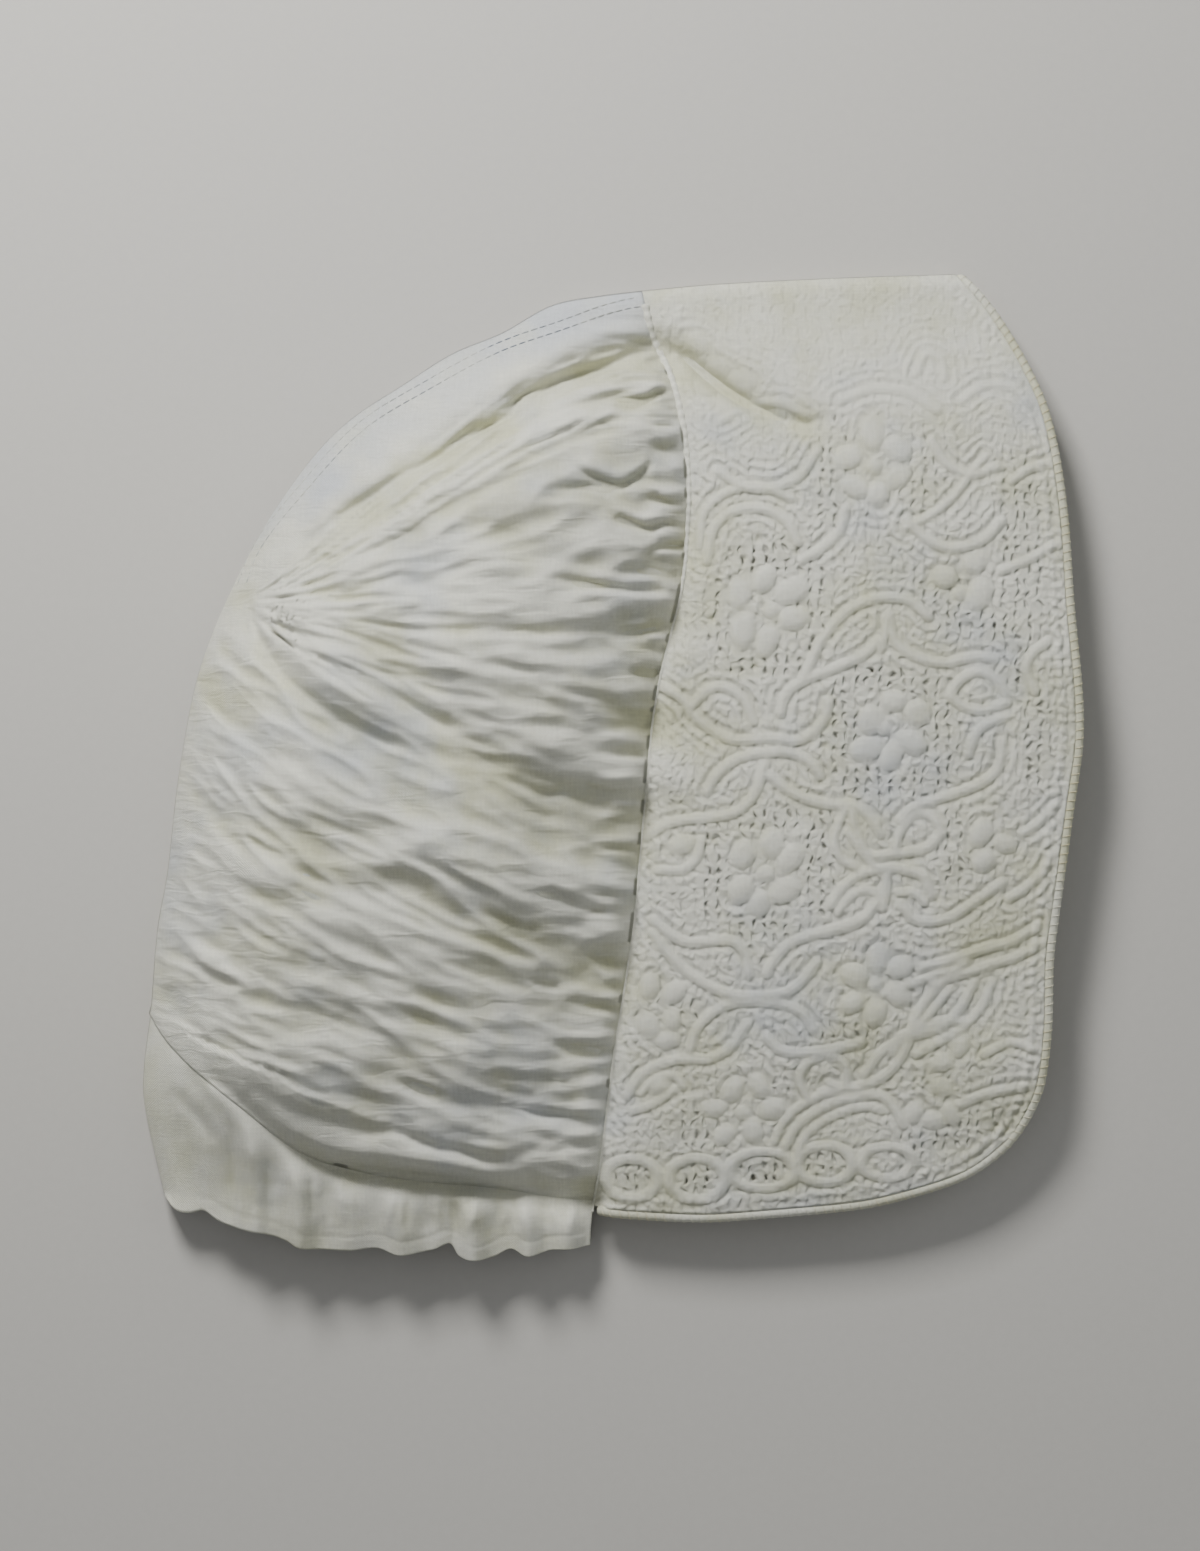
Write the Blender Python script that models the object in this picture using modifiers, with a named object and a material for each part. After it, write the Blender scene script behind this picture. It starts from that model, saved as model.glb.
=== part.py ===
"""A linen nightcap with a whitework brim, lying folded flat on its side. Metres, +Z up.

+X runs from the back of the head to the face, +Y from the nape to the top of the head.
The upper layer is one height field, which the crown, the brim and the casing are cut from,
and the lower layer lies flat at z = 0.
"""

from collections import namedtuple

import bmesh
import bpy
import numpy as np

# Overall size of the cap as it lies.
CAP_LENGTH = 0.2225  # from the back fold to the face edge, along X
CAP_HEIGHT = 0.2341  # from the nape hem to the fold at the top of the head, along Y
CAP_LOFT = 0.040  # highest point of the upper layer's broad form

# Cloth thicknesses.
CROWN_WALL = 0.0012
BRIM_WALL = 0.0020
CASING_WALL = 0.0014
BINDING_DIAMETER = 0.0026

# Spaces between sewn pieces.
SEAM_GAP = 0.0005
BINDING_GAP = 0.0007

# The folds at the back and at the top.
FOLD_THICKNESS = 0.0066  # height of the upper layer where it turns over
FOLD_ROUND = 0.0042  # how far in from the fold the rounding reaches
FOLD_CALM = 0.0126  # how far in from the fold the waves take to begin
SHOULDER = 0.036  # how far in from the fold the upper layer takes to rise
SEAM_SHOULDER = 0.050  # how far the crown takes to rise from the brim seam
LEAST_SPACE = 0.0012  # open space kept between the layers where a dent is deep
FOLD_MIDDLE = 0.45  # height of the fold's outermost line, as a share of its thickness

# Cells of the meshes.
CROWN_CELLS = (32, 34)
BRIM_CELLS = (18, 26)
CASING_CELLS = (52, 5)
BINDING_SIDES = 2  # bevel resolution, 8 sides round
BINDING_STEP = 0.0068
TURN_STEPS = 6
CURVE_STEPS = 12  # points between two places of a table
ROUTE_STEPS = 24  # points along a wave
LINE_STEPS = 60  # points along an edge
HEM_STEPS = 240  # points along the lobed hem
FINE_STEPS = 400  # points along a line that is cut at a distance
GRADING = 1.7  # power by which cells widen away from a fold
FOLD_PACKING = 0.3  # first cell at a fold, as a share of an even cell
CASING_PACKING = 0.7
WELD = 0.00001  # points this close at the fold are one

# Points along each line, as shares of the cap's length and height.
Place = namedtuple("Place", "along up")

BACK_FOLD = [
    Place(0.014, 0.090),
    Place(0.001, 0.150),
    Place(0.000, 0.195),
    Place(0.007, 0.249),
    Place(0.014, 0.332),
    Place(0.025, 0.392),
    Place(0.036, 0.483),
    Place(0.053, 0.574),
    Place(0.073, 0.634),
    Place(0.102, 0.695),
    Place(0.137, 0.755),
    Place(0.183, 0.816),
    Place(0.224, 0.854),
    Place(0.277, 0.887),
    Place(0.330, 0.919),
    Place(0.383, 0.940),
    Place(0.436, 0.968),
    Place(0.489, 0.978),
    Place(0.533, 0.983),
]
CASING_END_ROW = 3  # the row of BACK_FOLD where the casing meets the crown
WHORL_ROW = 9  # the row of BACK_FOLD nearest the gathered whorl

TOP_FOLD = [
    Place(0.533, 0.983),
    Place(0.616, 0.990),
    Place(0.743, 0.996),
    Place(0.876, 1.000),
]

SEAM = [
    Place(0.478, 0.014),
    Place(0.480, 0.046),
    Place(0.489, 0.100),
    Place(0.502, 0.201),
    Place(0.523, 0.332),
    Place(0.534, 0.443),
    Place(0.547, 0.564),
    Place(0.574, 0.674),
    Place(0.580, 0.725),
    Place(0.582, 0.785),
    Place(0.576, 0.846),
    Place(0.561, 0.901),
    Place(0.544, 0.936),
    Place(0.533, 0.983),
]

FACE_EDGE = [
    Place(0.931, 0.120),
    Place(0.949, 0.150),
    Place(0.960, 0.180),
    Place(0.967, 0.241),
    Place(0.968, 0.301),
    Place(0.976, 0.362),
    Place(0.989, 0.453),
    Place(1.000, 0.540),
    Place(0.990, 0.664),
    Place(0.984, 0.755),
    Place(0.969, 0.846),
    Place(0.944, 0.906),
    Place(0.907, 0.967),
    Place(0.876, 1.000),
]

JAW_EDGE = [
    Place(0.480, 0.044),
    Place(0.540, 0.040),
    Place(0.600, 0.038),
    Place(0.648, 0.041),
    Place(0.754, 0.050),
    Place(0.803, 0.059),
    Place(0.860, 0.075),
    Place(0.893, 0.090),
    Place(0.931, 0.120),
]

CREASE = [
    Place(0.007, 0.249),
    Place(0.040, 0.214),
    Place(0.100, 0.170),
    Place(0.171, 0.115),
    Place(0.224, 0.095),
    Place(0.277, 0.085),
    Place(0.383, 0.074),
    Place(0.483, 0.060),
]

HEM = [
    Place(0.014, 0.090),
    Place(0.020, 0.068),
    Place(0.034, 0.050),
    Place(0.052, 0.047),
    Place(0.067, 0.050),
    Place(0.082, 0.041),
    Place(0.106, 0.032),
    Place(0.128, 0.029),
    Place(0.156, 0.021),
    Place(0.176, 0.013),
    Place(0.222, 0.011),
    Place(0.252, 0.013),
    Place(0.276, 0.006),
    Place(0.309, 0.011),
    Place(0.329, 0.018),
    Place(0.339, 0.005),
    Place(0.355, 0.001),
    Place(0.376, 0.004),
    Place(0.394, 0.012),
    Place(0.412, 0.005),
    Place(0.438, 0.011),
    Place(0.460, 0.012),
    Place(0.478, 0.014),
]

# Heights of the upper layer, as shares of the cap's loft, at rows going up the cap.
Section = namedtuple("Section", "up crown seam belly face")

SECTIONS = [
    Section(0.00, 0.26, 0.24, 0.26, 0.22),
    Section(0.08, 0.40, 0.30, 0.34, 0.28),
    Section(0.20, 0.74, 0.36, 0.42, 0.38),
    Section(0.40, 0.98, 0.42, 0.47, 0.40),
    Section(0.60, 1.00, 0.43, 0.47, 0.40),
    Section(0.78, 0.84, 0.38, 0.42, 0.34),
    Section(0.92, 0.60, 0.30, 0.33, 0.26),
    Section(1.00, 0.36, 0.22, 0.24, 0.20),
]

# Ridges and valleys of the cloth: the places each runs through, its rises along the way as
# shares of the loft, and its half width as a share of the cap's length.
Wave = namedtuple("Wave", "route rises half_width")

WAVES = [
    # The deep crease from the brim to the whorl.
    Wave(
        [Place(0.770, 0.815), Place(0.640, 0.872), Place(0.547, 0.921), Place(0.466, 0.894),
         Place(0.385, 0.845), Place(0.312, 0.805), Place(0.223, 0.740), Place(0.117, 0.667)],
        [0, -0.08, -0.15, -0.18, -0.17, -0.14, -0.11, -0.05],
        0.022,
    ),
    # The strip between that crease and the back fold.
    Wave(
        [Place(0.560, 0.955), Place(0.466, 0.925), Place(0.385, 0.885), Place(0.300, 0.838),
         Place(0.200, 0.765), Place(0.125, 0.700)],
        [0.02, 0.08, 0.09, 0.07, 0.05, 0.03],
        0.022,
    ),
    # Folds that fan out from the whorl.
    Wave(
        [Place(0.190, 0.705), Place(0.240, 0.640), Place(0.287, 0.584), Place(0.320, 0.530),
         Place(0.383, 0.493), Place(0.446, 0.468), Place(0.530, 0.463), Place(0.600, 0.463)],
        [0, -0.09, -0.13, -0.16, -0.14, -0.13, -0.10, 0],
        0.030,
    ),
    Wave(
        [Place(0.160, 0.690), Place(0.215, 0.610), Place(0.270, 0.550), Place(0.320, 0.505)],
        [0.03, 0.09, 0.06, 0],
        0.024,
    ),
    Wave(
        [Place(0.125, 0.650), Place(0.145, 0.600), Place(0.185, 0.552), Place(0.243, 0.516),
         Place(0.303, 0.490), Place(0.370, 0.462)],
        [-0.03, -0.09, -0.08, -0.08, -0.05, 0],
        0.024,
    ),
    Wave(
        [Place(0.050, 0.463), Place(0.107, 0.448), Place(0.171, 0.427), Place(0.218, 0.400),
         Place(0.271, 0.377), Place(0.330, 0.365)],
        [-0.02, -0.06, -0.07, -0.10, -0.09, 0],
        0.024,
    ),
    Wave(
        [Place(0.033, 0.423), Place(0.107, 0.397), Place(0.171, 0.387), Place(0.234, 0.362)],
        [0.02, 0.05, 0.05, 0],
        0.024,
    ),
    # Folds between the middle of the crown and the brim seam.
    Wave(
        [Place(0.293, 0.620), Place(0.325, 0.646), Place(0.362, 0.652), Place(0.404, 0.639)],
        [0, 0.08, 0.08, 0],
        0.024,
    ),
    Wave(
        [Place(0.309, 0.599), Place(0.383, 0.571), Place(0.446, 0.564), Place(0.510, 0.574)],
        [0.03, 0.08, 0.07, 0],
        0.022,
    ),
    Wave(
        [Place(0.351, 0.538), Place(0.425, 0.513), Place(0.489, 0.491), Place(0.574, 0.480)],
        [0.03, 0.10, 0.09, 0.04],
        0.022,
    ),
    Wave(
        [Place(0.383, 0.448), Place(0.436, 0.427), Place(0.489, 0.417), Place(0.531, 0.402)],
        [0, -0.10, -0.11, -0.05],
        0.028,
    ),
    Wave(
        [Place(0.309, 0.422), Place(0.383, 0.397), Place(0.446, 0.372), Place(0.500, 0.357)],
        [0.03, 0.08, 0.10, 0.03],
        0.022,
    ),
    Wave(
        [Place(0.300, 0.375), Place(0.351, 0.347), Place(0.415, 0.337), Place(0.478, 0.322)],
        [-0.03, -0.09, -0.08, -0.06],
        0.022,
    ),
    Wave(
        [Place(0.309, 0.322), Place(0.362, 0.301), Place(0.446, 0.286), Place(0.494, 0.296)],
        [0, -0.08, -0.09, -0.05],
        0.022,
    ),
    Wave(
        [Place(0.277, 0.301), Place(0.340, 0.266), Place(0.404, 0.251), Place(0.480, 0.235)],
        [0, -0.04, -0.05, -0.03],
        0.024,
    ),
    Wave(
        [Place(0.440, 0.610), Place(0.489, 0.629), Place(0.530, 0.635), Place(0.590, 0.645)],
        [0, -0.08, -0.10, -0.04],
        0.022,
    ),
    Wave(
        [Place(0.480, 0.545), Place(0.540, 0.540), Place(0.600, 0.535)],
        [0, -0.09, -0.03],
        0.022,
    ),
    Wave(
        [Place(0.300, 0.760), Place(0.362, 0.735), Place(0.420, 0.705), Place(0.480, 0.700),
         Place(0.570, 0.725)],
        [0, -0.06, -0.07, -0.06, -0.04],
        0.024,
    ),
    Wave(
        [Place(0.430, 0.790), Place(0.490, 0.788), Place(0.560, 0.805)],
        [0, -0.06, -0.05],
        0.022,
    ),
    # The roll above the casing.
    Wave(
        [Place(0.118, 0.200), Place(0.203, 0.150), Place(0.309, 0.125), Place(0.404, 0.118),
         Place(0.480, 0.118)],
        [0.03, 0.09, 0.10, 0.09, 0.05],
        0.024,
    ),
    # Broad dents of the brim.
    Wave(
        [Place(0.660, 0.120), Place(0.750, 0.160), Place(0.840, 0.230), Place(0.930, 0.330)],
        [-0.01, -0.05, -0.05, -0.02],
        0.050,
    ),
    Wave(
        [Place(0.860, 0.520), Place(0.885, 0.680), Place(0.880, 0.820)],
        [0, -0.04, 0],
        0.050,
    ),
]
# The valleys at the casing and at the brim seam: depths as shares of the loft, half widths as
# shares of the cap's length.
CREASE_DEPTH = 0.10
CREASE_HALF_WIDTH = 0.014
SEAM_DEPTH = 0.05
SEAM_HALF_WIDTH = 0.012

FLUTE_START = 0.0084  # how far below the crease the flutes take to rise

# Flutes of the gathered casing: where each lies, its half width and how high it stands as a
# share of the loft.
Flute = namedtuple("Flute", "along half_width rise")

FLUTES = [
    Flute(0.045, 0.022, 0.04),
    Flute(0.085, 0.014, 0.04),
    Flute(0.122, 0.012, 0.10),
    Flute(0.170, 0.014, 0.10),
    Flute(0.222, 0.018, 0.05),
    Flute(0.278, 0.017, 0.07),
    Flute(0.317, 0.010, 0.04),
    Flute(0.354, 0.014, 0.09),
    Flute(0.412, 0.014, 0.08),
    Flute(0.452, 0.013, 0.06),
]

LINEN = (0.40, 0.39, 0.35)
QUILTED_LINEN = (0.41, 0.40, 0.37)
CASING_LINEN = (0.39, 0.37, 0.31)
WHIPPED_LINEN = (0.42, 0.38, 0.27)


def place(share):
    """A place in metres from its shares of the cap's length and height."""
    return np.array([share.along * CAP_LENGTH, share.up * CAP_HEIGHT])


def smooth_line(shares, count):
    """Evenly spaced points on a smooth curve through the places of a table."""
    knots = np.array([place(share) for share in shares])
    before = 2 * knots[0] - knots[1]
    after = 2 * knots[-1] - knots[-2]
    padded = np.vstack([before, knots, after])
    steps = np.linspace(0, 1, CURVE_STEPS, endpoint=False)[:, None]
    pieces = []
    for i in range(1, len(padded) - 2):
        a, b, c, d = padded[i - 1 : i + 3]
        pieces.append(
            0.5
            * (
                2 * b
                + (c - a) * steps
                + (2 * a - 5 * b + 4 * c - d) * steps**2
                + (3 * b - a - 3 * c + d) * steps**3
            )
        )
    dense = np.vstack(pieces + [knots[-1:]])
    return along_line(dense, np.linspace(0, 1, count))


def along_line(points, shares):
    """Points at the given shares of a line's length."""
    lengths = np.linalg.norm(np.diff(points, axis=0), axis=1)
    walked = np.concatenate([[0], np.cumsum(lengths)])
    targets = np.asarray(shares) * walked[-1]
    columns = [np.interp(targets, walked, points[:, k]) for k in range(points.shape[1])]
    return np.stack(columns, axis=-1)


def nearest(points, line):
    """Distance from each point to a line, and the share of the line's length it falls at."""
    starts, ends = line[:-1], line[1:]
    runs = ends - starts
    lengths = np.linalg.norm(runs, axis=1)
    offsets = points[:, None, :] - starts[None]
    shares = np.clip((offsets * runs).sum(-1) / np.maximum(lengths**2, 1e-16), 0, 1)
    distances = np.linalg.norm(offsets - shares[..., None] * runs, axis=-1)
    best = distances.argmin(axis=1)
    rows = np.arange(len(points))
    walked = np.concatenate([[0], np.cumsum(lengths)])[:-1]
    found = (walked[best] + shares[rows, best] * lengths[best]) / lengths.sum()
    return distances[rows, best], found


TOP_LINE = smooth_line(TOP_FOLD, LINE_STEPS)
FOLD_LINE = np.vstack([smooth_line(BACK_FOLD, 2 * LINE_STEPS), TOP_LINE[1:]])
SEAM_LINE = smooth_line(SEAM, LINE_STEPS)
FACE_LINE = smooth_line(FACE_EDGE, LINE_STEPS)
JAW_LINE = smooth_line(JAW_EDGE, LINE_STEPS)
CREASE_LINE = smooth_line(CREASE, LINE_STEPS)


def bump(distance, half_width):
    """A smooth ridge profile, 1 on its line and 0 from about two half widths away."""
    return np.exp(-((distance / half_width) ** 2))


def eased(values):
    """Values held between 0 and 1 and eased at both ends."""
    held = np.clip(values, 0, 1)
    return held * held * (3 - 2 * held)


def wave_height(points, wave):
    """What one ridge or valley adds to the upper layer."""
    line = smooth_line(wave.route, ROUTE_STEPS)
    distance, share = nearest(points, line)
    rise = np.interp(share, np.linspace(0, 1, len(wave.rises)), wave.rises)
    return CAP_LOFT * rise * bump(distance, wave.half_width * CAP_LENGTH)


def broad_height(points):
    """The upper layer's broad form: high in the crown, low at the seam, arched in the brim."""
    up = points[:, 1] / CAP_HEIGHT
    rows = [row.up for row in SECTIONS]
    crown, seam, belly, face = (
        CAP_LOFT * np.interp(up, rows, [getattr(row, field) for row in SECTIONS])
        for field in ("crown", "seam", "belly", "face")
    )
    seam_x = np.interp(points[:, 1], SEAM_LINE[:, 1], SEAM_LINE[:, 0])
    face_x = np.interp(points[:, 1], FACE_LINE[:, 1], FACE_LINE[:, 0])
    past_seam = points[:, 0] - seam_x
    into_crown = np.sin(0.5 * np.pi * np.clip(-past_seam / SEAM_SHOULDER, 0, 1))
    into_brim = np.clip(past_seam / (face_x - seam_x), 0, 1)
    on_crown = seam + (crown - seam) * into_crown
    arch = 4 * into_brim * (1 - into_brim)
    on_brim = seam + (face - seam) * into_brim + (belly - 0.5 * (seam + face)) * arch
    return np.where(past_seam < 0, on_crown, on_brim)


def turned(from_fold):
    """How far a layer has turned away from the fold's outermost line, a quarter of an ellipse."""
    return np.sqrt(1 - (1 - np.clip(from_fold / FOLD_ROUND, 0, 1)) ** 2)


def lower_height(points):
    """The lower layer: flat on the surface, turning up to the fold's outermost line."""
    from_fold, _ = nearest(points, FOLD_LINE)
    return FOLD_MIDDLE * FOLD_THICKNESS * (1 - turned(from_fold))


def upper_height(points, wall):
    """Height of the upper layer's outer face, down to the fold's outermost line."""
    from_fold, _ = nearest(points, FOLD_LINE)
    rising = np.sin(0.5 * np.pi * np.clip(from_fold / SHOULDER, 0, 1))
    height = FOLD_THICKNESS + (broad_height(points) - FOLD_THICKNESS) * rising
    inside = eased(from_fold / FOLD_CALM)
    waves = sum(wave_height(points, wave) for wave in WAVES)
    from_crease, _ = nearest(points, CREASE_LINE)
    waves -= CAP_LOFT * CREASE_DEPTH * bump(from_crease, CREASE_HALF_WIDTH * CAP_LENGTH)
    from_seam, _ = nearest(points, SEAM_LINE)
    waves -= CAP_LOFT * SEAM_DEPTH * bump(from_seam, SEAM_HALF_WIDTH * CAP_LENGTH)
    least = np.minimum(height, 2 * wall + LEAST_SPACE)
    height = np.maximum(height + waves * inside, least)
    middle = FOLD_MIDDLE * FOLD_THICKNESS
    return middle + (height - middle) * turned(from_fold)


def graded(cells, packing):
    """Shares from 0 to 1 between cells, which are packed closer near 0."""
    even = np.linspace(0, 1, cells + 1)
    return packing * even + (1 - packing) * even**GRADING


def patch(bottom, top, left, right, across, up):
    """Plan points of a sheet between four edge lines, which share their corners."""
    low, high = along_line(bottom, across), along_line(top, across)
    start, end = along_line(left, up), along_line(right, up)
    u, v = across[:, None], up[:, None]
    grid = (1 - v)[None] * low[:, None] + v[None] * high[:, None]
    grid = grid + (1 - u)[:, None] * start[None] + u[:, None] * end[None]
    corners = (1 - u)[:, None] * ((1 - v)[None] * low[0] + v[None] * high[0])
    corners = corners + u[:, None] * ((1 - v)[None] * low[-1] + v[None] * high[-1])
    return grid - corners


def shifted(line, distance):
    """A line moved sideways, to its right as it runs, by a distance."""
    runs = np.gradient(line, axis=0)
    runs /= np.linalg.norm(runs, axis=1)[:, None]
    return line + distance * np.stack([runs[:, 1], -runs[:, 0]], axis=1)


def cut_line(line, point, keep_end):
    """The stretch of a line past, or up to, the place nearest a point."""
    _, share = nearest(point[None], line)
    first, last = (share[0], 1) if keep_end else (0, share[0])
    return along_line(line, np.linspace(first, last, LINE_STEPS))


def until_near(line, other, distance):
    """The stretch of a line up to where it comes within a distance of another line."""
    shares = np.linspace(0, 1, FINE_STEPS)
    away, _ = nearest(along_line(line, shares), other)
    last = shares[np.flatnonzero(away < distance)[0]]
    return along_line(line, np.linspace(0, last, LINE_STEPS))


def sheet(grid, heights, facing_up):
    """A mesh grid primitive laid onto the points of one layer."""
    columns, rows = grid.shape[0] - 1, grid.shape[1] - 1
    mesh = bmesh.new()
    bmesh.ops.create_grid(mesh, x_segments=columns, y_segments=rows, size=0.5)
    for vert in mesh.verts:
        i = round((vert.co.x + 0.5) * columns)
        j = round((vert.co.y + 0.5) * rows)
        vert.co = (grid[i, j, 0], grid[i, j, 1], heights[i, j])
    if not facing_up:
        bmesh.ops.reverse_faces(mesh, faces=mesh.faces)
    return mesh


def add_piece(name, data, collection):
    """Adds an object, set so that the origin lies at the middle of the cap's foot."""
    piece = bpy.data.objects.new(name, data)
    piece.location = (-0.5 * CAP_LENGTH, -0.5 * CAP_HEIGHT, 0)
    collection.objects.link(piece)
    return piece


def folded_cloth(name, grid, upper, on_fold, collection, wall, colour):
    """A piece of cloth folded in two: its upper layer on its lower, joined where on_fold says."""
    flat = grid.reshape(-1, 2)
    lower = lower_height(flat).reshape(grid.shape[:2])
    upper[on_fold] = FOLD_MIDDLE * FOLD_THICKNESS
    lower[on_fold] = FOLD_MIDDLE * FOLD_THICKNESS
    joined = bmesh.new()
    for heights, facing_up in ((upper, True), (lower, False)):
        part = sheet(grid, heights, facing_up)
        data = bpy.data.meshes.new(name)
        part.to_mesh(data)
        part.free()
        joined.from_mesh(data)
        bpy.data.meshes.remove(data)
    bmesh.ops.remove_doubles(joined, verts=joined.verts, dist=WELD)
    flats = [face for face in joined.faces if all(vert.co.z < WELD for vert in face.verts)]
    bmesh.ops.dissolve_faces(joined, faces=flats, use_verts=False)
    data = bpy.data.meshes.new(name)
    joined.to_mesh(data)
    joined.free()
    data.shade_smooth()
    piece = add_piece(name, data, collection)
    solid = piece.modifiers.new("Cloth thickness", "SOLIDIFY")
    solid.thickness = wall
    solid.offset = -1
    data.materials.append(cloth(name + "_linen", colour))


def cloth(name, colour):
    """A matt linen."""
    material = bpy.data.materials.new(name)
    material.use_nodes = True
    shader = material.node_tree.nodes["Principled BSDF"]
    shader.inputs["Base Color"].default_value = (*colour, 1)
    shader.inputs["Roughness"].default_value = 0.9
    shader.inputs["Metallic"].default_value = 0
    return material


def make_crown(collection):
    """The plain caul, between the back fold, the brim seam and the casing."""
    back = smooth_line(BACK_FOLD[CASING_END_ROW : WHORL_ROW + 1], LINE_STEPS)
    over = smooth_line(BACK_FOLD[WHORL_ROW:], LINE_STEPS)
    seam = shifted(SEAM_LINE, -0.5 * SEAM_GAP)
    crease = shifted(CREASE_LINE, -0.5 * SEAM_GAP)
    seam = cut_line(seam, crease[-1], keep_end=True)
    seam[-1] = over[-1] - (0.5 * SEAM_GAP, 0)
    over[-1] = seam[-1]
    crease[-1] = seam[0]
    back[0] = crease[0]
    across = graded(CROWN_CELLS[0], FOLD_PACKING)
    up = 1 - graded(CROWN_CELLS[1], FOLD_PACKING)[::-1]
    grid = patch(crease, over, back, seam, across, up)
    heights = upper_height(grid.reshape(-1, 2), CROWN_WALL).reshape(grid.shape[:2])
    on_fold = np.zeros(heights.shape, bool)
    on_fold[0, :] = on_fold[:, -1] = True
    folded_cloth("crown", grid, heights, on_fold, collection, CROWN_WALL, LINEN)


def make_brim(collection):
    """The quilted front band, between the seam, the top fold and the free edge."""
    inset = BINDING_DIAMETER + BINDING_GAP
    seam = shifted(SEAM_LINE, 0.5 * SEAM_GAP)
    face = shifted(FACE_LINE, -inset)
    jaw = shifted(JAW_LINE, -inset)
    corner = 0.5 * (face[0] + jaw[-1])
    seam = cut_line(seam, jaw[0], keep_end=True)
    top = until_near(TOP_LINE, FACE_LINE, inset)
    seam[-1] = top[0] + (0.5 * SEAM_GAP, 0)
    top[0] = seam[-1]
    jaw[0], jaw[-1] = seam[0], corner
    face[0], face[-1] = corner, top[-1]
    across = np.linspace(0, 1, BRIM_CELLS[0] + 1)
    up = 1 - graded(BRIM_CELLS[1], FOLD_PACKING)[::-1]
    grid = patch(jaw, top, seam, face, across, up)
    heights = upper_height(grid.reshape(-1, 2), BRIM_WALL).reshape(grid.shape[:2])
    on_fold = np.zeros(heights.shape, bool)
    on_fold[:, -1] = True
    folded_cloth("brim", grid, heights, on_fold, collection, BRIM_WALL, QUILTED_LINEN)


def make_casing(collection):
    """The gathered casing at the nape, from the crease down to its fluted hem."""
    back = smooth_line(BACK_FOLD[: CASING_END_ROW + 1], LINE_STEPS)
    crease = shifted(CREASE_LINE, 0.5 * SEAM_GAP)
    seam = shifted(SEAM_LINE, -0.5 * SEAM_GAP)
    seam = cut_line(seam, crease[-1], keep_end=False)
    hem = smooth_line(HEM, HEM_STEPS)
    crease[-1] = seam[-1]
    hem[0], hem[-1] = back[0], seam[0]
    back[-1] = crease[0]
    across = graded(CASING_CELLS[0], CASING_PACKING)
    up = np.linspace(0, 1, CASING_CELLS[1] + 1)
    grid = patch(hem, crease, back, seam, across, up)
    flat = grid.reshape(-1, 2)
    heights = upper_height(flat, CASING_WALL)
    from_fold, _ = nearest(flat, FOLD_LINE)
    from_crease, _ = nearest(flat, CREASE_LINE)
    standing = eased(from_fold / SHOULDER) * eased(from_crease / FLUTE_START)
    for flute in FLUTES:
        distance = np.abs(flat[:, 0] - flute.along * CAP_LENGTH)
        profile = bump(distance, flute.half_width * CAP_LENGTH)
        heights += CAP_LOFT * flute.rise * profile * standing
    heights = heights.reshape(grid.shape[:2])
    on_fold = np.zeros(heights.shape, bool)
    on_fold[0, :] = True
    folded_cloth("nape_casing", grid, heights, on_fold, collection, CASING_WALL, CASING_LINEN)


def binding_route(radius):
    """Centre line of the roll: along the jaw, up the face, over the top fold and back below."""
    jaw = shifted(JAW_LINE, -radius)
    face = shifted(FACE_LINE, -radius)
    seam_x = np.interp(jaw[0, 1], SEAM_LINE[:, 1], SEAM_LINE[:, 0])
    jaw = jaw[jaw[:, 0] > seam_x + SEAM_GAP]
    plan = np.vstack([jaw[:-1], 0.5 * (jaw[-1:] + face[:1]), face[1:]])
    turn = until_near(plan, FOLD_LINE, FOLD_ROUND)
    length = np.linalg.norm(np.diff(turn, axis=0), axis=1).sum()
    flat = along_line(turn, np.linspace(0, 1, round(length / BINDING_STEP) + 1))
    heights = upper_height(flat, BRIM_WALL) - 0.5 * BRIM_WALL
    upper = np.column_stack([flat, heights])
    lower = np.column_stack([flat, np.full(len(flat), radius)])[::-1]
    ending = along_line(plan, np.linspace(0, 1, FINE_STEPS))
    from_fold, _ = nearest(ending, FOLD_LINE)
    over = []
    for angle in np.linspace(0, np.pi, TURN_STEPS + 1)[1:-1]:
        target = FOLD_ROUND - (FOLD_ROUND - radius) * np.sin(angle)
        at = ending[np.flatnonzero(from_fold >= target)[-1]]
        height = radius + (heights[-1] - radius) * 0.5 * (1 + np.cos(angle))
        over.append((*at, height))
    return np.vstack([upper, over, lower])


def make_binding(collection):
    """The whipped roll round the brim's free edge."""
    radius = 0.5 * BINDING_DIAMETER
    route = binding_route(radius)
    curve = bpy.data.curves.new("edge_binding", "CURVE")
    curve.dimensions = "3D"
    curve.bevel_depth = radius
    curve.bevel_resolution = BINDING_SIDES
    curve.use_fill_caps = True
    spline = curve.splines.new("POLY")
    spline.points.add(len(route) - 1)
    for point, co in zip(spline.points, route):
        point.co = (*co, 1)
    add_piece("edge_binding", curve, collection)
    curve.materials.append(cloth("edge_binding_linen", WHIPPED_LINEN))


def main():
    for old in list(bpy.data.objects):
        bpy.data.objects.remove(old)
    collection = bpy.data.collections.new("nightcap")
    bpy.context.scene.collection.children.link(collection)
    make_crown(collection)
    make_brim(collection)
    make_casing(collection)
    make_binding(collection)


main()
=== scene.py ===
"""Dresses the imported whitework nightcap, which lies folded flat on its side.

+X runs from the back of the head to the face and +Y from the nape to the top of the head. The
tables of the cap's lines, sections, waves and flutes are the model's own, as shares of its length
and height, but for the lower corner at the back, which is rounder here. The waves are kept lower
than the model's, and the finer relief of the cloth is added to them.
"""

import math
import random
from collections import namedtuple

import bpy
import numpy as np
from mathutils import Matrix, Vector, kdtree, noise


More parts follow.
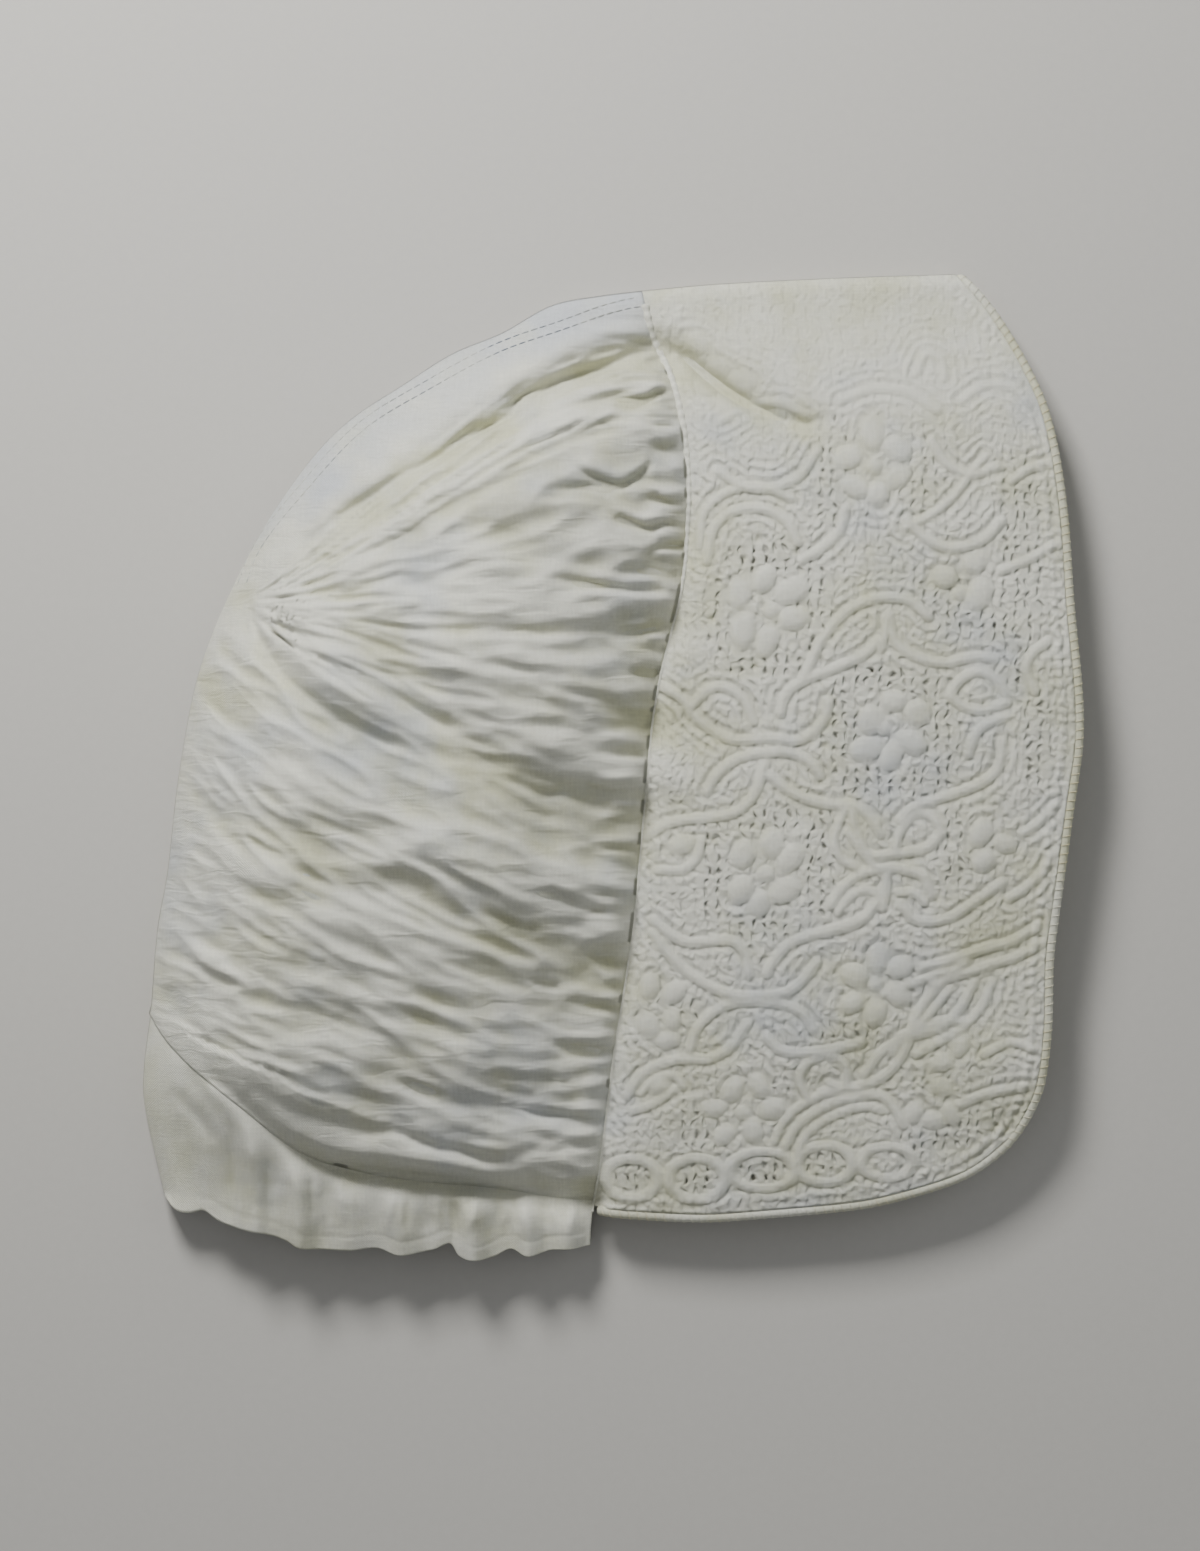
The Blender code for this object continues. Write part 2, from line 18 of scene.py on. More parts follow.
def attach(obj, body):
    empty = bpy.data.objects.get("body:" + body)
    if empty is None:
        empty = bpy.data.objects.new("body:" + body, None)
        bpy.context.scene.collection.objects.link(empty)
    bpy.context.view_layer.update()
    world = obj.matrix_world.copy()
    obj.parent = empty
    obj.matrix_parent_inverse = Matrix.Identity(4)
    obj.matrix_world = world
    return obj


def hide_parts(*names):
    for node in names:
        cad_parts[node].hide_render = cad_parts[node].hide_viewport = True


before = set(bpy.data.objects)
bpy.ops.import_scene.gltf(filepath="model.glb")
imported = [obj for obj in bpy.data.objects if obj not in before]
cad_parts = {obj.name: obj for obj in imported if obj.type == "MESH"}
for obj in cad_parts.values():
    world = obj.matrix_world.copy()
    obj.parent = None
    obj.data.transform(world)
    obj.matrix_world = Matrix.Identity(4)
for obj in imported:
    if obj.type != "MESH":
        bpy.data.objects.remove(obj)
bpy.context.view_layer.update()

bl_info = {
    "name": "Whitework nightcap",
    "version": (1, 0, 0),
    "blender": (4, 5, 0),
    "location": "View3D > Sidebar > Nightcap",
    "description": "Builds a nightcap's quilted brim, gathered crown, casing and stitching",
    "category": "Object",
}

# Overall size of the cap as it lies.
CAP_LENGTH = 0.2225  # from the back fold to the face edge, along X
CAP_HEIGHT = 0.2341  # from the nape hem to the fold at the top of the head, along Y
CAP_LOFT = 0.040  # highest point of the upper layer's broad form

# Cloth thicknesses.
CROWN_WALL = 0.0012
BRIM_WALL = 0.0020
CASING_WALL = 0.0014
BINDING_DIAMETER = 0.0026

# Spaces between sewn pieces.
SEAM_GAP = 0.00004
BINDING_GAP = -0.0005  # the roll sits over the cloth's rim
CROWN_LAP = 0.0006  # how far the crown's lower rim reaches over the casing
LAP_DEPTH = 0.00016  # how far the casing is pressed in below that rim

# The folds at the back and at the top.
FOLD_THICKNESS = 0.0066  # height of the upper layer where it turns over
FOLD_ROUND = 0.0042  # how far in from the fold the rounding reaches
FOLD_CALM = 0.0126  # how far in from the fold the waves take to begin
SHOULDER = 0.036  # how far in from the fold the upper layer takes to rise
SEAM_SHOULDER = 0.050  # how far the crown takes to rise from the brim seam
LEAST_SPACE = 0.0012  # open space kept between the layers where a dent is deep
FOLD_MIDDLE = 0.45  # height of the fold's outermost line, as a share of its thickness

# Cells of the cloths' meshes.
CROWN_CELLS = (170, 250)
BRIM_CELLS = (178, 352)
CASING_CELLS = (240, 56)
TURN_STEPS = 12
CURVE_STEPS = 12  # points between two places of a table
ROUTE_STEPS = 24  # points along a wave
LINE_STEPS = 60  # points along an edge
HEM_STEPS = 300  # points along the lobed hem
FINE_STEPS = 400  # points along a line that is cut at a distance
CHUNK = 1024  # points measured against a line at a time
FOLD_MARGIN = 0.00001  # points this close at the fold are one

GRADING = 1.7  # power by which cells widen away from a fold
FOLD_PACKING = 0.6  # first cell at a fold, as a share of an even cell
CASING_PACKING = 0.8

# How many triangles each cloth is thinned to, where its faces are out of sight.
MOST_TRIANGLES = {"crown_cloth": 186000, "brim_quilting": 194000, "casing_cloth": 90000}

# Points along each line: how far along and how far up, as shares of the cap's length and height.

BACK_FOLD = [
    (0.021, 0.066), (0.001, 0.150), (0.000, 0.195), (0.007, 0.249), (0.014, 0.332),
    (0.025, 0.392), (0.036, 0.483), (0.053, 0.574), (0.073, 0.634), (0.102, 0.695),
    (0.137, 0.755), (0.183, 0.816), (0.224, 0.854), (0.277, 0.887), (0.330, 0.919),
    (0.383, 0.940), (0.436, 0.968), (0.489, 0.978), (0.533, 0.983),
]
CASING_END_ROW = 3  # the row of BACK_FOLD where the casing meets the crown
WHORL_ROW = 9  # the row of BACK_FOLD nearest the gathered whorl

TOP_FOLD = [(0.533, 0.983), (0.616, 0.990), (0.743, 0.996), (0.876, 1.000)]

SEAM = [
    (0.478, 0.014), (0.480, 0.046), (0.489, 0.100), (0.502, 0.201), (0.523, 0.332),
    (0.534, 0.443), (0.547, 0.564), (0.574, 0.674), (0.580, 0.725), (0.582, 0.785),
    (0.576, 0.846), (0.561, 0.901), (0.544, 0.936), (0.533, 0.983),
]

FACE_EDGE = [
    (0.931, 0.120), (0.949, 0.150), (0.960, 0.180), (0.967, 0.241), (0.968, 0.301),
    (0.976, 0.362), (0.989, 0.453), (1.000, 0.540), (0.990, 0.664), (0.984, 0.755),
    (0.969, 0.846), (0.944, 0.906), (0.907, 0.967), (0.876, 1.000),
]

JAW_EDGE = [
    (0.480, 0.044), (0.540, 0.040), (0.600, 0.038), (0.648, 0.041), (0.754, 0.050),
    (0.803, 0.059), (0.860, 0.075), (0.893, 0.090), (0.931, 0.120),
]

CREASE = [
    (0.007, 0.249), (0.040, 0.214), (0.100, 0.170), (0.171, 0.115), (0.224, 0.095),
    (0.277, 0.085), (0.383, 0.074), (0.483, 0.060),
]

HEM = [
    (0.021, 0.066), (0.036, 0.050), (0.052, 0.047), (0.067, 0.050), (0.082, 0.041),
    (0.106, 0.032), (0.128, 0.029), (0.156, 0.021), (0.176, 0.013), (0.222, 0.011),
    (0.252, 0.013), (0.276, 0.006), (0.309, 0.011), (0.329, 0.018), (0.339, 0.005),
    (0.355, 0.001), (0.376, 0.004), (0.394, 0.012), (0.412, 0.005), (0.438, 0.011),
    (0.460, 0.012), (0.478, 0.014),
]

# Heights of the upper layer, as shares of the cap's loft, at rows going up the cap.
Section = namedtuple("Section", "up crown seam belly face")

SECTIONS = [
    Section(0.00, 0.26, 0.24, 0.26, 0.22),
    Section(0.08, 0.40, 0.30, 0.34, 0.28),
    Section(0.20, 0.74, 0.36, 0.42, 0.38),
    Section(0.40, 0.98, 0.42, 0.47, 0.40),
    Section(0.60, 1.00, 0.43, 0.47, 0.40),
    Section(0.78, 0.84, 0.38, 0.42, 0.34),
    Section(0.92, 0.60, 0.30, 0.33, 0.26),
    Section(1.00, 0.36, 0.22, 0.24, 0.20),
]

# Ridges and valleys of the cloth: the places each runs through, its rises along the way as
# shares of the loft, and its half width as a share of the cap's length.
Wave = namedtuple("Wave", "route rises half_width")

WAVES = [
    # The deep crease from the brim to the whorl.
    Wave([(0.770, 0.815), (0.640, 0.872), (0.547, 0.921), (0.466, 0.894), (0.385, 0.845),
          (0.312, 0.805), (0.223, 0.740), (0.117, 0.667)],
         [0, -0.08, -0.15, -0.18, -0.17, -0.14, -0.11, -0.05], 0.022),
    # The strip between that crease and the back fold.
    Wave([(0.560, 0.955), (0.466, 0.925), (0.385, 0.885), (0.300, 0.838), (0.200, 0.765),
          (0.125, 0.700)],
         [0.02, 0.08, 0.09, 0.07, 0.05, 0.03], 0.022),
    # Folds that fan out from the whorl.
    Wave([(0.190, 0.705), (0.240, 0.640), (0.287, 0.584), (0.320, 0.530), (0.383, 0.493),
          (0.446, 0.468), (0.530, 0.463), (0.600, 0.463)],
         [0, -0.09, -0.13, -0.16, -0.14, -0.13, -0.10, 0], 0.030),
    Wave([(0.160, 0.690), (0.215, 0.610), (0.270, 0.550), (0.320, 0.505)],
         [0.03, 0.09, 0.06, 0], 0.024),
    Wave([(0.125, 0.650), (0.145, 0.600), (0.185, 0.552), (0.243, 0.516), (0.303, 0.490),
          (0.370, 0.462)],
         [-0.03, -0.09, -0.08, -0.08, -0.05, 0], 0.024),
    Wave([(0.050, 0.463), (0.107, 0.448), (0.171, 0.427), (0.218, 0.400), (0.271, 0.377),
          (0.330, 0.365)],
         [-0.02, -0.06, -0.07, -0.10, -0.09, 0], 0.024),
    Wave([(0.033, 0.423), (0.107, 0.397), (0.171, 0.387), (0.234, 0.362)],
         [0.02, 0.05, 0.05, 0], 0.024),
    # Folds between the middle of the crown and the brim seam.
    Wave([(0.293, 0.620), (0.325, 0.646), (0.362, 0.652), (0.404, 0.639)],
         [0, 0.08, 0.08, 0], 0.024),
    Wave([(0.309, 0.599), (0.383, 0.571), (0.446, 0.564), (0.510, 0.574)],
         [0.03, 0.08, 0.07, 0], 0.022),
    Wave([(0.351, 0.538), (0.425, 0.513), (0.489, 0.491), (0.574, 0.480)],
         [0.03, 0.10, 0.09, 0.04], 0.022),
    Wave([(0.383, 0.448), (0.436, 0.427), (0.489, 0.417), (0.531, 0.402)],
         [0, -0.10, -0.11, -0.05], 0.028),
    Wave([(0.309, 0.422), (0.383, 0.397), (0.446, 0.372), (0.500, 0.357)],
         [0.03, 0.08, 0.10, 0.03], 0.022),
    Wave([(0.300, 0.375), (0.351, 0.347), (0.415, 0.337), (0.478, 0.322)],
         [-0.03, -0.09, -0.08, -0.06], 0.022),
    Wave([(0.309, 0.322), (0.362, 0.301), (0.446, 0.286), (0.494, 0.296)],
         [0, -0.08, -0.09, -0.05], 0.022),
    Wave([(0.277, 0.301), (0.340, 0.266), (0.404, 0.251), (0.480, 0.235)],
         [0, -0.04, -0.05, -0.03], 0.024),
    Wave([(0.440, 0.610), (0.489, 0.629), (0.530, 0.635), (0.590, 0.645)],
         [0, -0.08, -0.10, -0.04], 0.022),
    Wave([(0.480, 0.545), (0.540, 0.540), (0.600, 0.535)],
         [0, -0.09, -0.03], 0.022),
    Wave([(0.300, 0.760), (0.362, 0.735), (0.420, 0.705), (0.480, 0.700), (0.570, 0.725)],
         [0, -0.06, -0.07, -0.06, -0.04], 0.024),
    Wave([(0.430, 0.790), (0.490, 0.788), (0.560, 0.805)],
         [0, -0.06, -0.05], 0.022),
    # The roll above the casing.
    Wave([(0.118, 0.200), (0.203, 0.150), (0.309, 0.125), (0.404, 0.118), (0.480, 0.118)],
         [0.03, 0.09, 0.10, 0.09, 0.05], 0.024),
    # Broad dents of the brim.
    Wave([(0.660, 0.120), (0.750, 0.160), (0.840, 0.230), (0.930, 0.330)],
         [-0.01, -0.05, -0.05, -0.02], 0.050),
    Wave([(0.860, 0.520), (0.885, 0.680), (0.880, 0.820)],
         [0, -0.04, 0], 0.050),
]
# The valleys at the casing and at the brim seam: depths as shares of the loft, half widths as
# shares of the cap's length.
CREASE_DEPTH = 0.10
CREASE_LEAST = 0.12  # how much of that depth it has at the back
CREASE_FROM = 0.30  # where along the crease it begins to deepen
CREASE_WITHIN = 0.30  # how much further on it is deep
CREASE_HALF_WIDTH = 0.014
SEAM_DEPTH = 0.05
SEAM_HALF_WIDTH = 0.012

FLUTE_START = 0.0084  # how far below the crease the flutes take to rise

# Flutes of the gathered casing: where each lies, its half width and how high it stands as a
# share of the loft.
Flute = namedtuple("Flute", "along half_width rise")

FLUTES = [
    Flute(0.045, 0.022, 0.04), Flute(0.085, 0.014, 0.04), Flute(0.122, 0.012, 0.10),
    Flute(0.170, 0.014, 0.10), Flute(0.222, 0.018, 0.05), Flute(0.278, 0.017, 0.07),
    Flute(0.317, 0.010, 0.04), Flute(0.354, 0.014, 0.09), Flute(0.412, 0.014, 0.08),
    Flute(0.452, 0.013, 0.06),
]

# The whitework's chart: its squares are about a quarter of a millimetre, x runs towards the face
# and y down towards the nape.
CHART_LEFT = 139
CHART_FOOT = 1259
CHART_WIDE = 943
CHART_HIGH = 992
CHART_SQUARE = CAP_LENGTH / CHART_WIDE

# Corded lines of the brim, as points of the chart, with the cord's width in squares.
Cord = namedtuple("Cord", "width route")

CORDS = [
    # Upper medallion by the seam.
    Cord(8, [(690, 713), (711, 729), (733, 739), (766, 737), (798, 739), (822, 720), (826, 700)]),
    Cord(8, [(706, 790), (715, 774), (731, 760), (756, 752), (784, 751), (806, 759), (818, 774)]),
    Cord(8, [(763, 763), (756, 787), (740, 807), (715, 815), (684, 818), (662, 824), (646, 834)]),
    Cord(8, [(768, 774), (784, 787), (809, 799), (840, 804), (848, 802), (867, 815), (878, 832)]),
    Cord(7.5, [(690, 713), (683, 700), (668, 689), (650, 680)]),
    Cord(7.5, [(690, 706), (705, 690), (722, 686), (742, 698), (752, 720)]),
    Cord(6.5, [(656, 868), (681, 868), (696, 856), (700, 838)]),
    # Lower medallion by the seam.
    Cord(8, [(652, 931), (674, 959), (693, 974), (715, 987), (737, 993), (762, 993), (784, 990),
              (802, 977), (815, 959)]),
    Cord(8, [(652, 918), (668, 931), (687, 940), (715, 938), (732, 939), (744, 952),
              (748, 972)]),
    Cord(8, [(765, 971), (774, 956), (790, 940), (815, 931), (840, 924), (860, 915)]),
    Cord(8, [(690, 1046), (696, 1027), (709, 1012), (727, 1002), (752, 999), (777, 1001),
              (799, 1009), (812, 1027)]),
    Cord(8, [(746, 1021), (731, 1043), (709, 1056), (684, 1056), (659, 1062), (640, 1074),
              (627, 1093)]),
    Cord(8, [(765, 1034), (781, 1048), (809, 1049), (840, 1045), (860, 1040)]),
    Cord(6.5, [(674, 1087), (652, 1102), (631, 1109)]),
    Cord(6.5, [(640, 1090), (655, 1076), (675, 1074), (682, 1084)]),
    # Upper medallion of the second column.
    Cord(8, [(800, 680), (812, 655), (823, 635), (846, 610), (876, 598), (906, 600), (926, 616)]),
    Cord(8, [(887, 614), (890, 634), (899, 648), (919, 658), (942, 662), (972, 656), (992, 658)]),
    Cord(8, [(876, 640), (860, 655), (834, 667), (800, 681), (784, 694), (779, 712)]),
    Cord(8, [(947, 694), (961, 705), (979, 709), (1004, 701)]),
    Cord(8, [(947, 694), (957, 680), (974, 671), (992, 677), (1003, 692)]),
    Cord(6.5, [(884, 616), (883, 632), (878, 648)]),
    Cord(6.5, [(870, 862), (858, 848), (846, 830)]),
    Cord(6.5, [(848, 802), (838, 818), (832, 838), (838, 856), (854, 866)]),
    Cord(6.5, [(939, 831), (930, 816), (914, 812), (900, 826), (893, 846)]),
    Cord(6.5, [(884, 872), (884, 890), (880, 906)]),
    Cord(6.5, [(836, 910), (846, 896), (860, 888), (872, 890)]),
    Cord(6.5, [(896, 890), (910, 890), (922, 900)]),
    Cord(7.5, [(966, 753), (972, 735), (985, 722), (1004, 716)]),
    # Lower medallion of the second column.
    Cord(8, [(848, 802), (855, 832), (867, 853), (892, 852), (923, 846), (939, 831)]),
    Cord(8, [(829, 902), (838, 888), (851, 876), (873, 867), (898, 867), (920, 874), (929, 893)]),
    Cord(8, [(882, 884), (873, 902), (854, 921), (820, 931)]),
    Cord(8, [(898, 902), (914, 918), (945, 916), (972, 900), (1000, 880)]),
    Cord(8, [(898, 818), (911, 806), (939, 796), (967, 787), (989, 774), (998, 759), (1000, 740)]),
    # Diagonals of the lower corner.
    Cord(8, [(914, 1015), (926, 996), (945, 974), (964, 959)]),
    Cord(8, [(920, 965), (954, 956), (982, 946), (1007, 940), (1036, 924)]),
    Cord(7.5, [(930, 981), (960, 972), (990, 962), (1016, 954), (1040, 940)]),
    Cord(8, [(820, 1090), (857, 1084), (882, 1074), (901, 1052), (914, 1015)]),
    Cord(7.5, [(898, 1034), (923, 1024), (945, 1018), (966, 1020)]),
    Cord(7.5, [(785, 1144), (794, 1126), (812, 1111), (836, 1099), (860, 1093), (878, 1093),
              (892, 1104), (902, 1122)]),
    Cord(6.5, [(796, 1150), (806, 1132), (824, 1118), (846, 1108), (866, 1104), (880, 1108)]),
    Cord(6.5, [(774, 1138), (784, 1118), (800, 1103), (824, 1091), (850, 1084)]),
    Cord(6.5, [(806, 1096), (799, 1077), (806, 1060), (824, 1053), (840, 1058), (846, 1073),
             (841, 1086), (827, 1080)]),
    Cord(7.5, [(863, 1072), (878, 1051), (902, 1036), (926, 1030), (944, 1021), (959, 1006),
              (971, 982)]),
    Cord(6.5, [(881, 991), (908, 982), (944, 968)]),
    Cord(6.5, [(914, 1052), (936, 1040), (960, 1026), (980, 1004), (990, 980)]),
    Cord(7.5, [(957, 1102), (992, 1090), (1026, 1084)]),
    Cord(7.5, [(1007, 896), (1024, 885), (1039, 871), (1052, 850)]),
    Cord(7.5, [(1020, 831), (1036, 821), (1054, 802)]),
    Cord(7.5, [(1000, 570), (1028, 558), (1057, 542)]),
    Cord(6.5, [(982, 1052), (1007, 1040), (1032, 1046)]),
    Cord(6.5, [(948, 987), (920, 1020), (890, 1050)]),
    Cord(7.5, [(1046, 640), (1030, 652), (1024, 668), (1032, 690)]),
    Cord(7.5, [(1010, 480), (1028, 468), (1050, 462)]),
    # Arches of the upper brim.
    Cord(8, [(706, 560), (712, 530), (730, 512), (758, 508), (784, 520), (796, 542)]),
    Cord(8, [(800, 560), (820, 548), (838, 530), (844, 508)]),
    Cord(8, [(905, 520), (926, 540), (950, 548), (980, 540), (1000, 520)]),
    Cord(7.5, [(716, 470), (742, 486), (772, 488), (800, 474), (816, 450)]),
    Cord(7.5, [(930, 440), (944, 462), (968, 474), (996, 466)]),
    Cord(7.5, [(840, 400), (872, 388), (908, 392), (936, 410)]),
    Cord(7.5, [(720, 420), (748, 404), (782, 402), (806, 416)]),
    Cord(7.5, [(960, 400), (984, 384), (1012, 386), (1030, 402)]),
    # Faint work where the top of the brim is pressed flat.
    Cord(6.5, [(902, 528), (930, 514), (952, 496), (968, 474), (984, 456)]),
    Cord(6.5, [(698, 545), (702, 515), (722, 494), (756, 486), (790, 498)]),
    Cord(6.5, [(916, 372), (926, 352), (942, 358), (944, 376)]),
    Cord(6.5, [(1006, 330), (1022, 356), (1038, 390), (1046, 430)]),
]

# Stuffed petals and leaves: centre, half length, half width and the long side's turn in degrees.
Petal = namedtuple("Petal", "x y long wide turn")

PETALS = [
    Petal(847, 457, 16, 12, 20), Petal(871, 432, 19, 12, 90), Petal(896, 449, 16, 12, -30),
    Petal(896, 477, 15, 11, 30), Petal(854, 487, 15, 11, -25), Petal(876, 494, 13, 11, 90),
    Petal(738, 593, 17, 12, 80), Petal(763, 579, 15, 11, 60), Petal(790, 591, 19, 13, 25),
    Petal(742, 630, 19, 13, 85), Petal(766, 640, 18, 11, 70), Petal(792, 618, 16, 12, 10),
    Petal(977, 594, 18, 13, 60), Petal(973, 562, 14, 11, 30), Petal(942, 577, 14, 11, -10),
    Petal(868, 719, 15, 13, 80), Petal(891, 700, 13, 11, 0), Petal(915, 712, 14, 14, 0),
    Petal(909, 741, 17, 12, -20), Petal(889, 755, 17, 10, 65), Petal(863, 748, 17, 12, 15),
    Petal(742, 852, 15, 12, 70), Petal(770, 841, 15, 12, 80), Petal(789, 856, 17, 11, 55),
    Petal(740, 888, 15, 12, 60), Petal(758, 902, 14, 10, 80), Petal(784, 888, 18, 12, 30),
    Petal(876, 956, 15, 11, 80), Petal(898, 965, 14, 11, 20), Petal(853, 973, 15, 12, -20),
    Petal(896, 992, 15, 11, -40), Petal(873, 1010, 15, 11, 80), Petal(851, 1000, 13, 10, 30),
    Petal(732, 1087, 14, 10, 60), Petal(758, 1083, 13, 10, -60), Petal(771, 1106, 14, 10, 20),
    Petal(724, 1132, 13, 9, 40), Petal(752, 1128, 14, 10, -70), Petal(712, 1106, 12, 9, 0),
    Petal(649, 984, 13, 10, 70), Petal(673, 990, 14, 10, 40), Petal(648, 1023, 14, 11, -60),
    Petal(671, 1017, 12, 9, 80), Petal(667, 1038, 12, 9, 10),
    Petal(978, 831, 15, 11, 60), Petal(981, 859, 14, 11, 30), Petal(1002, 842, 12, 9, -20),
    Petal(940, 1060, 12, 9, 20), Petal(940, 1084, 12, 9, -30), Petal(958, 1043, 12, 9, 70),
    Petal(932, 1118, 13, 9, 0), Petal(913, 1110, 12, 9, 60), Petal(950, 1112, 12, 9, -60),
    Petal(681, 843, 14, 9, 20), Petal(659, 1084, 12, 8, 30),
    Petal(770, 610, 8, 8, 0), Petal(880, 727, 7, 7, 0), Petal(764, 872, 8, 8, 0),
    Petal(874, 982, 7, 7, 0), Petal(742, 1110, 7, 7, 0), Petal(872, 466, 8, 8, 0),
    Petal(958, 592, 7, 7, 0),
]

# Fields of pulled-thread holes round the flowers: centre, half width, half height and how
# strongly they are drawn.
Field = namedtuple("Field", "x y wide high depth")

FIELDS = [
    Field(830, 470, 20, 60, 0.7), Field(918, 470, 18, 50, 0.5), Field(768, 556, 44, 16, 1.0),
    Field(812, 610, 18, 50, 0.8), Field(716, 616, 10, 40, 0.8), Field(766, 665, 46, 12, 0.9),
    Field(942, 600, 26, 26, 0.7), Field(986, 622, 34, 14, 0.9), Field(1018, 570, 22, 120, 0.7),
    Field(870, 676, 36, 12, 1.0), Field(838, 728, 18, 44, 0.8), Field(926, 690, 24, 20, 0.6),
    Field(938, 735, 18, 42, 0.7), Field(868, 782, 32, 16, 1.0), Field(925, 782, 26, 13, 0.9),
    Field(770, 818, 42, 14, 0.8), Field(712, 866, 14, 48, 0.9), Field(822, 862, 18, 52, 0.9),
    Field(764, 926, 34, 14, 0.8), Field(952, 846, 16, 40, 0.7), Field(1034, 740, 14, 50, 0.7),
    Field(846, 1034, 34, 14, 0.6), Field(924, 980, 12, 22, 0.5), Field(700, 1126, 22, 20, 0.7),
    Field(790, 1078, 24, 12, 0.5), Field(980, 1120, 34, 14, 0.5), Field(930, 1142, 44, 10, 0.9),
    Field(692, 1018, 12, 26, 0.6), Field(631, 1177, 18, 12, 0.9), Field(696, 1177, 18, 13, 1.0),
    Field(762, 1168, 24, 12, 1.0), Field(824, 1162, 22, 12, 0.9),
]

# Rings of the plaited border along the jaw.
Ring = namedtuple("Ring", "x y wide high")

RINGS = [
    Ring(631, 1177, 27, 20), Ring(696, 1177, 28, 21), Ring(762, 1168, 33, 19),
    Ring(824, 1162, 28, 19), Ring(886, 1160, 26, 16),
]
RING_WIDTH = 9  # squares

# Single holes and short tears where the drawn ground has opened: x, y and half width in squares.
OPEN_HOLES = [
    (757, 538, 3.2), (744, 558, 2.8), (795, 552, 3.0), (800, 571, 3.0), (712, 619, 3.2),
    (754, 665, 3.4), (823, 744, 3.4), (713, 839, 3.0), (753, 824, 2.6), (823, 866, 3.4),
    (948, 839, 3.0), (966, 625, 3.4), (1003, 453, 2.6), (714, 872, 3.0),
]

# The brim's relief, in metres.
CORD_HEIGHT = 0.00052
PETAL_HEIGHT = 0.00072
PETAL_SIZE = 0.9
PETAL_KEPT = 0.35  # height of the thinnest petal, as a share of a wide one's
PETAL_FULL = 0.004  # half width that would add a whole share to that
STITCH_VALLEY = 0.00036
STITCH_WIDTH = 0.00050
STITCH_PLACE = 0.0001  # how far from the stuffed work its stitches lie
ECHO_HEIGHT = 0.00034
ECHO_STEP = 0.0020
ECHO_FADE = 0.006  # how far from the stuffed work the echo lines fade
ECHO_CLEAR = 0.001  # how far from it they begin
FIELD_EDGE = 1.25  # where a drawn field ends, as a share of its half size
FIELD_FADE = 0.4  # over what share of its half size it fades
DRAWN_DEPTH = 0.00022
DRAWN_CLEAR = 0.0006  # how far from the stuffed work the drawn ground begins
HOLE_DEPTH = 0.0009
BEAD_HEIGHT = 0.00042
BEAD_STEP = 0.0023
BEAD_PLACE = 0.0050  # how far in from the free edge the beaded band lies
BEAD_HALF_WIDTH = 0.0010
BAND_STITCHES = (0.0037, 0.0063)  # how far in the rows of stitches beside the band lie
BAND_STITCH_HALF_WIDTH = 0.0004
BAND_STITCH_KEPT = 0.7  # their depth, as a share of the other stitches'
WORK_REACH = 0.010  # how far the ground's echo lines are measured from the stuffed work
WORN_ABOVE = 440  # chart row above which the work is pressed flat
WORN_KEEP = 0.55  # what is left of the relief there
WORN_FADE = 0.024  # over what height the rest comes back
UNDER_DEPTH = 0.0009  # how far the lower layer's ground stands off the surface
UNDER_LEAST = 0.00004  # how far its highest work stands off it
RIM_CALM = 0.0015  # how far in from a sewn edge the relief takes to begin
FOLD_EDGE = 0.0012  # the same at a fold
FOLD_KEPT = 0.25  # how much of the relief there is near a fold

# How waves, folds and stuffed work are shaped.
WAVE_REACH = 3.2  # half widths within which a wave is worked out
BUMP_REACH = 2.6  # the same for a fold or a bulge
FOLD_ENDS = 0.8  # power by which a fold fades at its ends
DOME_POWER = 2.6  # power of the rounding of stuffed work
WOBBLE_ALONG = 0.2  # how much a line is shaken along its length, to across it

# Random lumps of each cloth: rise and size in metres, and seed.
BRIM_LUMPS = [(0.00022, 0.0042, 1.5), (0.0004, 0.014, 6.5)]
CROWN_LUMPS = [(0.00042, 0.009, 2.5), (0.00022, 0.0035, 8.5)]
CASING_LUMPS = [(0.0004, 0.007, 4.5), (0.0001, 0.0025, 9.5)]

# The crown's fine wrinkles, the pleats at its seam and the gathers at its whorl. A pair of
# numbers holds the least and the most of a random size.
WRINKLES = 130
WRINKLE_RISE = 0.00085
WRINKLE_SIGNS = (-1, -1, 1, 1, 0.7)
WRINKLE_KEPT = 0.35  # height of the thinnest wrinkle, as a share of the rise
WRINKLE_FULL = 0.0023  # half width that adds a whole share to that
WRINKLE_SHARES = (0.4, 1)
WRINKLE_LEAST = 5  # fewest points along a wrinkle
WRINKLE_LINES = (0.02, 0.98)
WRINKLE_STARTS = (0, 0.85)  # shares of the line that each runs along
WRINKLE_LENGTHS = (0.10, 0.26)
WRINKLE_STEPS = 60
WRINKLE_HALF_WIDTHS = (0.0009, 0.0026)
WRINKLE_WOBBLE = 0.0020
SEAM_PLEATS = 56
PLEAT_RISE = 0.0012
PLEAT_TOP = 0.955  # shares of the cap's height
PLEAT_SPAN = 0.87
PLEAT_STRAY = (-0.3, 0.3)  # shares of the step from pleat to pleat
PLEAT_SEWN = 0.003  # how far a pleat reaches in below the seam
PLEAT_DROP = 0.001  # how far down it starts there, times its lean
PLEAT_KNEE = (0.4, 0.2)  # where it bends, as shares of its length and of its lean
PLEAT_FULL = 0.0011  # half width of a pleat of full height
PLEAT_LENGTHS = (0.005, 0.017)
PLEAT_LEANS = (-0.10, 0.22)
PLEAT_HALF_WIDTHS = (0.0008, 0.0014)
WHORL = (243, 598)
WHORL_GATHERS = 10
WHORL_DENT = 0.0012
WHORL_DENT_HALF_WIDTH = 0.0022
GATHER_RISE = 0.0008
